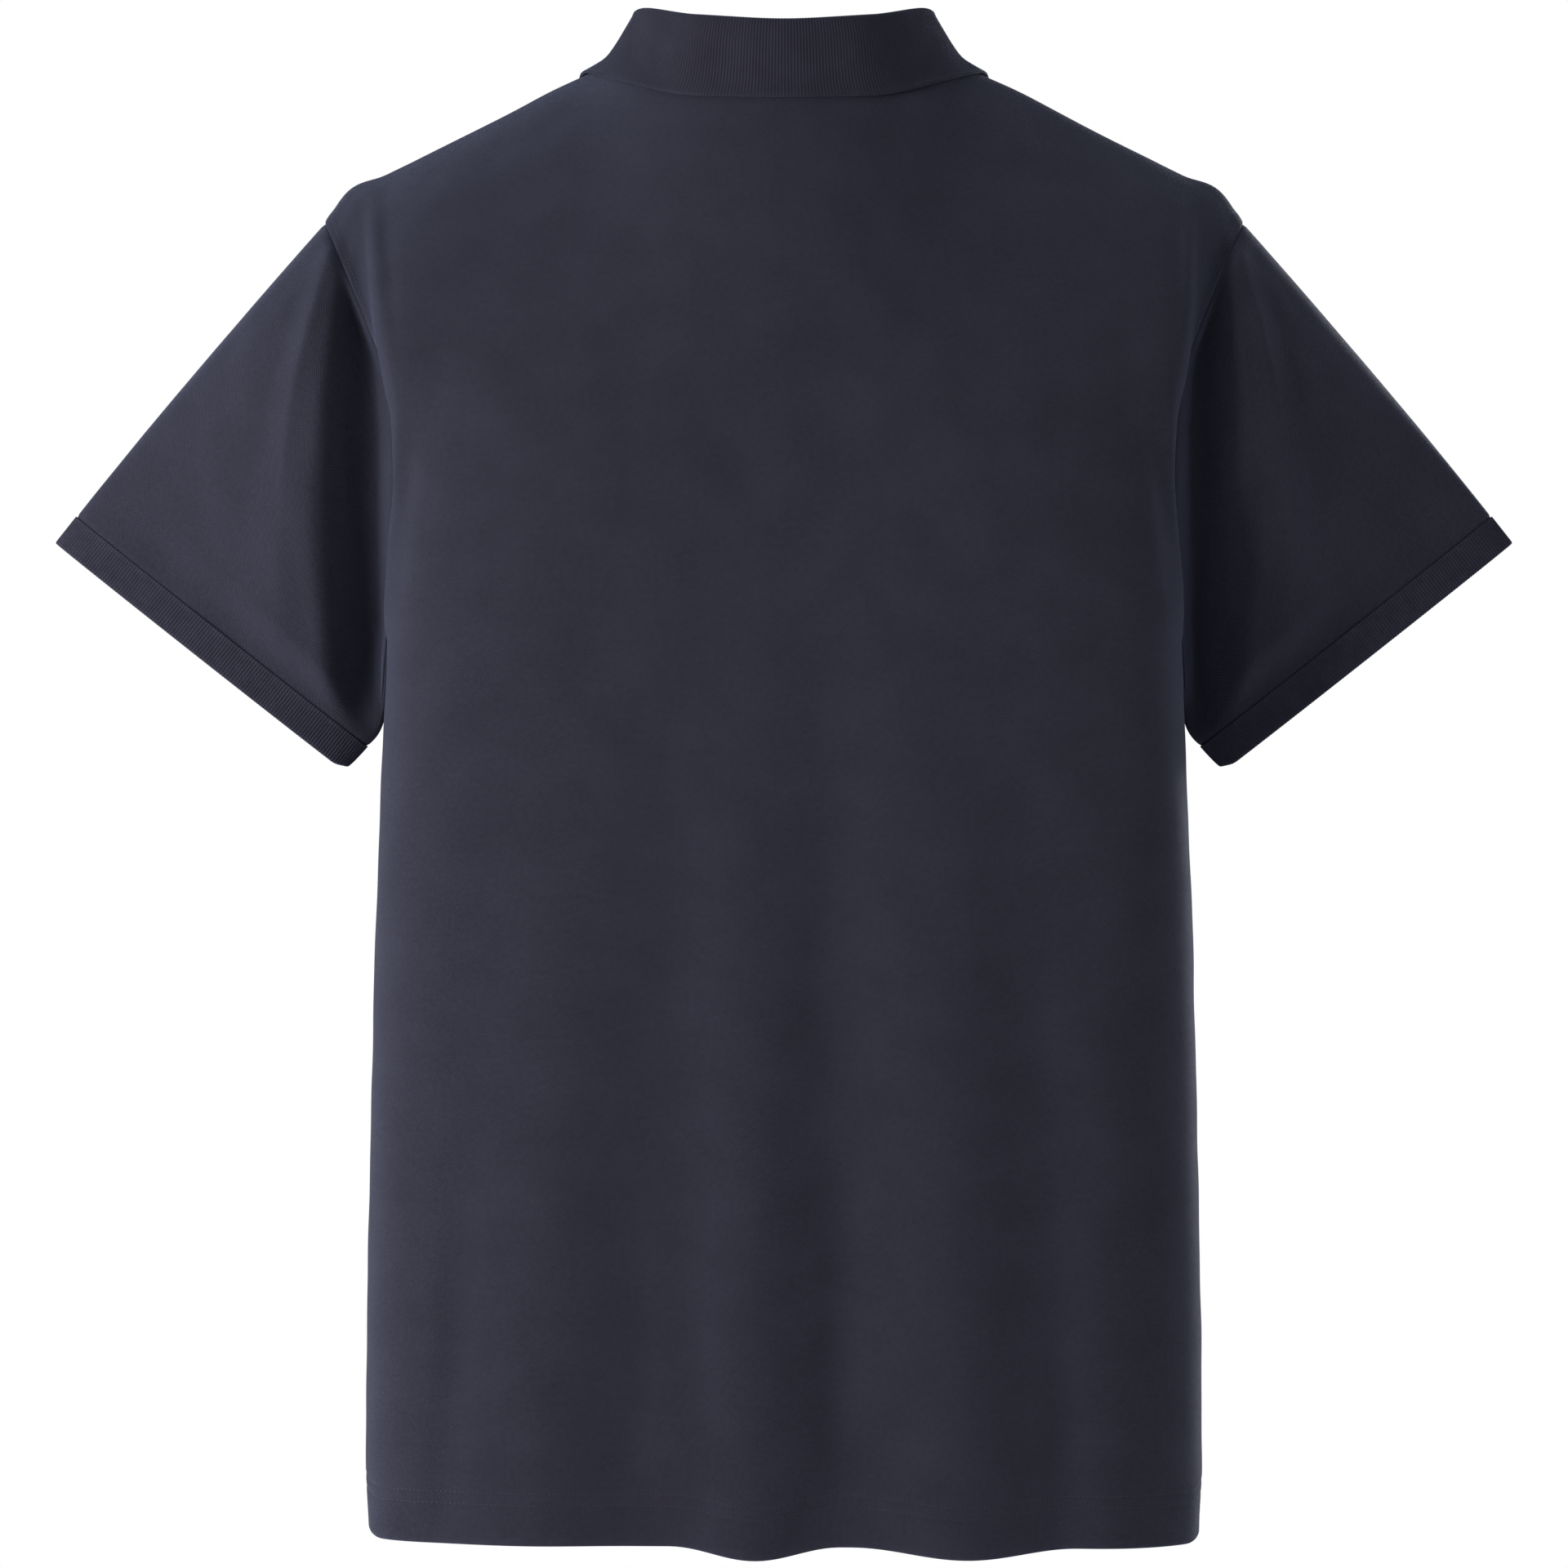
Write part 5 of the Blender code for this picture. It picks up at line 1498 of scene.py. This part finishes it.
def buildCuff(side, flip):
    cut, skin = cuffCut, cuff.copy()
    # the corner under the arm is rounded off
    lowest = skin[0, np.argmin(skin[0, :, 2])]
    corner = swell(np.linalg.norm(skin[0] - lowest, axis=-1) / cut["cornerReach"])[None, :, None]
    down = (np.linspace(0, 1, len(skin)) ** 2)[:, None, None]
    aside = unit(lowest - skin[0].mean(axis=0))
    skin -= (outlet * cut["cornerRise"] + aside * cut["cornerNarrowing"]) * corner * down
    skin[0] += pullBack(cuff[0], cuff[1], cuffNormals[0], cloth["seamGap"], ring=True)
    inward = -cuffNormals * cloth["ribWall"]
    along, _ = distances(skin, ring=True)
    toMouth = along[-1] - along
    edge = cut["edgeRibs"] + (1 - cut["edgeRibs"]) * ease((toMouth - cut["edgeStart"]) / cut["fadeReach"])
    fade = ease(along / cut["fadeReach"]) * edge
    thin = edgeThin(toMouth, cloth["ribWall"])
    # the cuff's even painted light is added to the paler worn edge where its ribs fade
    values = ribValues(skin, cut, fade, cut["wearAndPaintedLight"])
    piece = shell(f"cuff{side}", skin * flip, inward * flip, rib, ring=True, thin=thin, values=values)
    return applyTree(piece, ribbing, rib, {"Depth": 1.0})


sleeveLeft, sleeveRight = buildSleeve("Left", left, 21), buildSleeve("Right", right, 34)
cuffLeft, cuffRight = buildCuff("Left", left), buildCuff("Right", right)

print("collar")


def coarseInwards(plain):
    # how the walls of the plain panels lie, with one slant for all along the neck seam
    neck = neckSlice(plain[0][0], panelGrid["neckColumns"])
    outs = [normals.copy() for _, normals in plain]
    edges = [skin[-1] for skin, _ in plain]
    pieces = [(edge, out[-1]) for edge, out in zip(edges, outs)]
    shareSlants(pieces + [(edge[neck], standDirections(edge[neck])) for edge in edges])
    return [-out * cloth["wall"] for out in outs]


def calmColumns(coarse, first, last, passes):
    # evens out the bends between the collar's columns, except along its seam
    for _ in range(passes):
        beside = coarse[1:, first - 1 : last - 1] + coarse[1:, first + 1 : last + 1]
        coarse[1:, first:last] = (beside + 2 * coarse[1:, first:last]) / 4


def buildCollar():
    cut = collarCut
    plain = [coarsePanel(1), coarsePanel(-1)]
    seam, seamInward = collarSeam(plain[0][0], plain[1][0], *coarseInwards(plain))
    coarse, coarseInward = makeCollar(seam, seamInward, panelSurface((back, front)))
    middle, count = coarse.shape[1] // 2, coarse.shape[1]
    beside, ending = cut["centreColumns"], cut["endColumns"]
    calmColumns(coarse, middle - beside, middle + beside + 1, cut["centreSmoothings"])
    calmColumns(coarse, 1, 1 + ending, cut["endSmoothings"])
    calmColumns(coarse, count - 1 - ending, count - 1, cut["endSmoothings"])
    stand, fold, fall = cut["standRows"], cut["foldRows"], cut["fallRows"]
    rows = np.concatenate([
        np.linspace(0, stand, cut["fineStandRows"] + 1)[:-1],
        stand + np.linspace(0, fold, cut["fineFoldRows"] + 1)[:-1],
        stand + fold + np.linspace(0, fall - cut["edgeRows"][0], cut["fineFallRows"] + 1)[:-1],
        stand + fold + fall - np.array(cut["edgeRows"]),
    ])
    columns = evenPlaces(coarse[stand + fold // 2], cut["ribs"] * cut["ribColumns"])
    skin = refined(coarse, rows, columns)
    edgeInward = refined(np.stack([coarseInward, coarseInward]), [0], columns)[0]
    normals = gridNormals(skin)
    normals *= np.sign(normals[-1, skin.shape[1] // 2, 1])
    blend = ease(np.arange(len(rows)) / cut["fineStandRows"])[:, None, None]
    inward = edgeInward[None] * (1 - blend) - normals * cloth["ribWall"] * blend
    along, across = distances(skin)
    toEnd = np.minimum(across, across[:, -1:] - across)
    toEdge = np.minimum(along[-1] - along, toEnd)
    thin = edgeThin(toEdge, cloth["ribWall"])
    edge = cut["edgeRibs"] + (1 - cut["edgeRibs"]) * ease((toEdge - cut["edgeStart"]) / cut["fadeReach"])
    values = ribValues(skin, cut, edge * ease(along / cut["seamFade"]))
    piece = shell("ribCollar", skin, inward, rib, thin=thin, values=values)
    return applyTree(piece, ribbing, rib, {"Depth": 1.0})


collar = buildCollar()

print("placket")
placket = {
    "topTrim": 0.6,
    "wearAndPaintedLight": 0.8,
    "wearReach": 1.2,
}


def buildPlacket():
    # two strips that close the neck slit, both made from the front panel's own points
    reach = (len(panelGrid["stripColumns"]) - 1) * panelGrid["finer"]
    firstRow = len(levels) - 1 + int(np.argmin(abs(shares - min(stripEnds))))
    strip = (slice(firstRow, None), neckSlice(front, reach))
    base, out = trimPanel(front, frontNormals)[strip].copy(), frontNormals[strip]
    base[-1] += unit(base[-2] - base[-1]) * placket["topTrim"]
    step, inward = out * (cloth["layerGap"] + cloth["wall"]), -out * cloth["wall"]
    along, across = distances(base + step)
    toEdge = np.minimum(np.minimum(across, across[:, -1:] - across), along)
    thin = edgeThin(toEdge, cloth["wall"])
    wearAndPaintedLight = placket["wearAndPaintedLight"] * np.exp(-((toEdge / placket["wearReach"]) ** 2))
    strips = []
    for name, skin in (("placketTop", base + step), ("placketUnder", base - step)):
        strips.append(shell(name, skin, inward, knit, thin=thin, values={"wearAndPaintedLight": wearAndPaintedLight}))
    return *strips, base + step, out


placketTop, placketUnder, placketSkin, placketOut = buildPlacket()

print("buttons")
button = {
    "count": 3,
    "radius": 5.6,
    "thickness": 2.6,
    "firstDrop": 13.0,
    "spacing": 60.0,
    "gap": 0.6,
    "holes": 4,
    "holeRadius": 0.75,
    "holeOffset": 1.9,
    "sides": 48,
    "holeSides": 16,
    "sharpAngle": 40.0,
}

# Half section of a button, as shares of its radius and thickness
Rim = namedtuple("Rim", "radius height")
buttonProfile = (
    Rim(0.00, 0.00),
    Rim(0.74, 0.00),
    Rim(0.82, 0.03),
    Rim(0.96, 0.28),
    Rim(1.00, 0.44),
    Rim(1.00, 0.60),
    Rim(0.985, 0.80),
    Rim(0.95, 0.93),
    Rim(0.90, 0.99),
    Rim(0.85, 1.00),
    Rim(0.80, 0.96),
    Rim(0.745, 0.84),
    Rim(0.69, 0.76),
    Rim(0.60, 0.725),
    Rim(0.00, 0.74),
)


def fromWork(name, work):
    mesh = bpy.data.meshes.new(name)
    work.to_mesh(mesh)
    work.free()
    return mesh


def buttonBlank():
    work = bmesh.new()
    points = []
    for rim in buttonProfile:
        place = Vector((rim.radius * button["radius"], 0, rim.height * button["thickness"]))
        points.append(work.verts.new(place * mm))
    for low, high in zip(points, points[1:]):
        work.edges.new((low, high))
    blank = addObject("buttonBlank", fromWork("buttonBlank", work))
    turned = blank.modifiers.new("turned", "SCREW")
    turned.steps = turned.render_steps = button["sides"]
    turned.use_merge_vertices = True
    turned.merge_threshold = 0.01 * mm
    turned.use_normal_calculate = True
    cutters = []
    for index in range(button["holes"]):
        turn = (index + 0.5) * 2 * math.pi / button["holes"]
        place = Vector((math.cos(turn), math.sin(turn), 0)) * button["holeOffset"] * mm
        radius, depth = button["holeRadius"] * mm, 4 * button["thickness"] * mm
        work = bmesh.new()
        bmesh.ops.create_cone(
            work, cap_ends=True, segments=button["holeSides"], radius1=radius, radius2=radius,
            depth=depth, matrix=Matrix.Translation(place))
        cutters.append(addObject("buttonHole", fromWork("buttonHole", work)))
        cut = blank.modifiers.new("hole", "BOOLEAN")
        cut.operation, cut.object = "DIFFERENCE", cutters[-1]
    graph = bpy.context.evaluated_depsgraph_get()
    made = bpy.data.meshes.new_from_object(blank.evaluated_get(graph))
    for old in [blank] + cutters:
        bpy.data.objects.remove(old)
    return made


def placketPoint(level):
    # the point on the placket's middle line at a height, and the way off the cloth there
    middle = placketSkin.shape[1] // 2
    line, outs = placketSkin[:, middle], placketOut[:, middle]
    point, out = (np.array([np.interp(level, line[:, 2], axis) for axis in rows.T]) for rows in (line, outs))
    return point, unit(out)


def buttonLevels():
    first = -neckCut["frontDrop"] - button["firstDrop"]
    return [first - number * button["spacing"] for number in range(button["count"])]


def buttonSeats():
    seats = []
    for level in buttonLevels():
        seat, out = placketPoint(level)
        turned = Vector(out).to_track_quat("Z", "Y").to_matrix().to_4x4()
        seats.append(Matrix.Translation(Vector(seat + out * button["gap"]) * mm) @ turned)
    return seats


def buildButtons():
    blank = buttonBlank()
    made = []
    for number, seat in enumerate(buttonSeats()):
        mesh = blank.copy()
        mesh.name = f"button{number + 1}"
        mesh.transform(seat)
        mesh.materials.clear()
        mesh.materials.append(plastic)
        mesh.shade_smooth()
        mesh.set_sharp_from_angle(angle=math.radians(button["sharpAngle"]))
        made.append(addObject(mesh.name, mesh))
    return made


buttons = buildButtons()

print("stitches")
sewing = {
    "armholeOffset": 6.6,
    "armholeEnd": 3,  # rows of the panel at the shoulder tip without stitches
    "shoulderOffset": 5.5,
    "shoulderEnd": 2,
    "placketOffset": 1.7,
    "boxHeight": 9.0,
    "sink": 0.06,
    "holeLength": 14.0,
    "holeSpread": 0.625,  # how far each bar of a buttonhole lies from its slit
    "holeSteps": 7,
    "threadRadius": 0.17,
    "strandSpacing": 0.27,
    "strandRise": 0.12,  # how much higher the middle strand lies
    "crossRise": 0.16,  # and the upper one of the two diagonals
}
edgeThread = {"Pitch": 2.2, "Length": 1.7, "Width": 0.52, "Height": 0.46}
hemThread = {"Pitch": 2.3, "Length": 1.55, "Width": 0.52, "Height": 0.46}
holeThread = {"Pitch": 0.42, "Length": 0.4, "Width": 1.25, "Height": 0.42}

# Path of a strand over a button: shares of the hole's offset, and heights over the button's face
Strand = namedtuple("Strand", "along high")
strandPath = (
    Strand(-1.0, -4.124),
    Strand(-1.0, -0.3),
    Strand(-0.75, 0.18),
    Strand(0.0, 0.3),
    Strand(0.75, 0.18),
    Strand(1.0, -0.3),
    Strand(1.0, -4.124),
)


def besideEdge(skin, out, offset, rows, fromEnd):
    # the line on a grid that keeps one distance from its first or last column
    if fromEnd:
        skin, out = skin[:, ::-1], out[:, ::-1]
    _, across = distances(skin)
    line, ups = [], []
    for row in rows:
        line.append([np.interp(offset, across[row], axis) for axis in skin[row].T])
        ups.append([np.interp(offset, across[row], axis) for axis in out[row].T])
    return np.array(line) - np.array(ups) * sewing["sink"], unit(np.array(ups))


def sew(name, lines, sizes):
    sizes = {label: size * mm for label, size in sizes.items()}
    return applyTree(drawLines(name, lines), stitchRow, thread, sizes)


sewnFaces = [
    (skin, facing(gridNormals(skin), normals))
    for skin, normals in ((backSkin, backNormals), (frontSkin, frontNormals))
]


def sewHem():
    lines = []
    for skin, out in sewnFaces:
        for height in hemDetail["stitchHeights"]:
            row = hemDetail["rowsAbove"].index(height)
            lines.append((skin[row, 1:-1] - out[row, 1:-1] * sewing["sink"], out[row, 1:-1]))
    return sew("hemStitches", lines, hemThread)


def sewArmholes():
    lines, rows = [], range(len(levels) - 1, len(backSkin) - sewing["armholeEnd"])
    for skin, out in sewnFaces:
        for fromEnd in (False, True):
            lines.append(besideEdge(skin, out, sewing["armholeOffset"], rows, fromEnd))
    return sew("armholeStitches", lines, edgeThread)


def sewShoulders():
    skin, out = (grid.transpose(1, 0, 2) for grid in sewnFaces[1])
    middle, end = len(skin) // 2, sewing["shoulderEnd"]
    start, lines = panelGrid["neckColumns"] * panelGrid["finer"] + end, []
    for columns in (range(end, middle - start), range(middle + start, len(skin) - end)):
        lines.append(besideEdge(skin, out, sewing["shoulderOffset"], columns, True))
    return sew("shoulderStitches", lines, edgeThread)


def sewPlacket():
    lines, rows = [], range(1, len(placketSkin) - 1)
    for fromEnd in (False, True):
        lines.append(besideEdge(placketSkin, placketOut, sewing["placketOffset"], rows, fromEnd))
    skin, out = placketSkin.transpose(1, 0, 2), placketOut.transpose(1, 0, 2)
    for offset in (sewing["placketOffset"], sewing["boxHeight"]):
        lines.append(besideEdge(skin, out, offset, range(1, len(skin) - 1), False))
    return sew("placketStitches", lines, edgeThread)


def sewButtonholes():
    # bars of satin stitch across a slit, under each button
    lines = []
    for level in buttonLevels():
        steps = level + sewing["holeLength"] * np.linspace(-0.5, 0.5, sewing["holeSteps"])
        line, out = (np.array(found) for found in zip(*(placketPoint(step) for step in steps)))
        for side in (-1, 1):
            lines.append((line + (side * sewing["holeSpread"], 0, 0), out))
    return sew("buttonholes", lines, holeThread)


def sewButtons():
    # strands that cross each button from hole to hole, and go down through the placket
    lines = []
    path = np.array(strandPath)
    reach, face = button["holeOffset"], button["thickness"] * buttonProfile[-1].height
    for seat in buttonSeats():
        turn, shift = np.array(seat.to_3x3()), np.array(seat.translation) / mm
        for diagonal in (1, -1):
            ahead = unit(np.array([1.0, diagonal, 0.0]))
            beside = np.array([-ahead[1], ahead[0], 0.0])
            for strand in (-1, 0, 1):
                line = path[:, :1] * ahead * reach + beside * strand * sewing["strandSpacing"]
                line[:, 2] += face + path[:, 1] + sewing["strandRise"] * (strand == 0)
                line[:, 2] += sewing["crossRise"] * (diagonal > 0) * (abs(line[:, 0]) < reach)
                lines.append((line @ turn.T + shift, np.tile(turn[:, 2], (len(line), 1))))
    sizes = {"Radius": sewing["threadRadius"] * mm}
    return applyTree(drawLines("buttonThread", lines), threadCord, thread, sizes)


stitches = [sewHem(), sewArmholes(), sewShoulders(), sewPlacket(), sewButtonholes(), sewButtons()]

print("stage")
studio = {
    "aim": (0, 0, -0.35),
    "room": 0.39,
    "roomColour": (0.92, 0.95, 1, 1),
    "floorLevel": -1.05,
    "floorRadius": 2.4,
    "floorSides": 96,
    "eye": (0, 3.0, -0.357),
    "lens": 140.6,
    "sensor": 36,
    "clip": (0.1, 30),
}

Lamp = namedtuple("Lamp", "name place size power")
lamps = (
    Lamp("keyLight", (1.25, 0.9, -0.1), 0.6, 17.5),
    Lamp("sideLight", (1.35, 0.3, -0.3), 0.5, 3.6),
    Lamp("lowLight", (1.2, 0.3, -0.85), 0.4, 2.4),
    Lamp("topLight", (0.4, 0.5, 2.2), 1.4, 1),
    Lamp("frontKeyLight", (-1.7, -2.6, 0.4), 1.3, 60),
    Lamp("frontSideLight", (-3.0, -0.2, -0.2), 1.2, 7),
    Lamp("frontFillLight", (2.0, -2.6, 0.0), 1.8, 6),
)


def buildStage():
    work = bmesh.new()
    level = Matrix.Translation((0, 0, studio["floorLevel"]))
    radius, sides = studio["floorRadius"], studio["floorSides"]
    bmesh.ops.create_circle(work, cap_ends=True, segments=sides, radius=radius, matrix=level)
    mesh = fromWork("floor", work)
    grains = {"cloud": (3.0, 4.0), "polish": (3.0, 4.0)}
    colours = finish["floorColour"], finish["floorCloud"]
    material, _ = makeCloudy("paleFloor", *colours, roughness=finish["floorRoughness"], **grains)
    mesh.materials.append(material)
    floor = addObject("floor", mesh)


def buildLights():
    for lamp in lamps:
        light = bpy.data.lights.new(lamp.name, "AREA")
        light.shape, light.size, light.energy = "DISK", lamp.size, lamp.power
        shining = addObject(lamp.name, light)
        shining.location = lamp.place
        shining.visible_camera = False
        aim = Vector(studio["aim"]) - Vector(lamp.place)
        shining.rotation_euler = aim.to_track_quat("-Z", "Y").to_euler()


def buildWorld():
    # a dim, cool room for the light, and plain white where the camera sees it
    world = bpy.data.worlds.new("softRoom")
    world.use_nodes = True
    tree = world.node_tree
    room = tree.nodes["Background"]
    room.inputs["Color"].default_value = studio["roomColour"]
    room.inputs["Strength"].default_value = studio["room"]
    seen = addNode(tree, "ShaderNodeBackground", {"Color": (1, 1, 1, 1)}).outputs[0]
    camera = addNode(tree, "ShaderNodeLightPath").outputs["Is Camera Ray"]
    blend = addNode(tree, "ShaderNodeMixShader", {"Fac": camera, 1: room.outputs[0], 2: seen})
    feed(tree, blend.outputs[0], tree.nodes["World Output"].inputs["Surface"])
    bpy.context.scene.world = world


def buildCamera():
    lens = bpy.data.cameras.new("camera")
    lens.sensor_width, lens.lens = studio["sensor"], studio["lens"]
    lens.clip_start, lens.clip_end = studio["clip"]
    eye = addObject("camera", lens)
    eye.location = studio["eye"]
    eye.rotation_euler = (math.pi / 2, 0, math.pi)
    bpy.context.scene.camera = eye
    bpy.context.scene.view_settings.view_transform = "Standard"


buildStage()
buildLights()
buildWorld()
buildCamera()

print("frame")
sheets = (
    (backPanel, "back_panel", "pique", (0.57, 0.76), 0.40),
    (frontPanel, "front_panel", "pique", (0.57, 0.74), 0.375),
    (sleeveLeft, "sleeve_left", "pique", (0.46, 0.23), 0.062),
    (sleeveRight, "sleeve_right", "pique", (0.46, 0.23), 0.062),
    (placketTop, "placket_top", "pique", (0.034, 0.17), None),
    (placketUnder, "placket_under", "pique", (0.034, 0.17), None),
    (collar, "collar", "rib", (0.48, 0.085), None),
    (cuffLeft, "cuff_left", "rib", (0.37, 0.018), None),
    (cuffRight, "cuff_right", "rib", (0.37, 0.018), None),
)
for piece, node, slot, flat, area in sheets:
    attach(piece, "root")
    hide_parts(node)
for number, piece in enumerate(buttons):
    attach(piece, "root")
    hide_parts(f"button_{number + 1}")

for piece in stitches:
    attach(piece, "root")
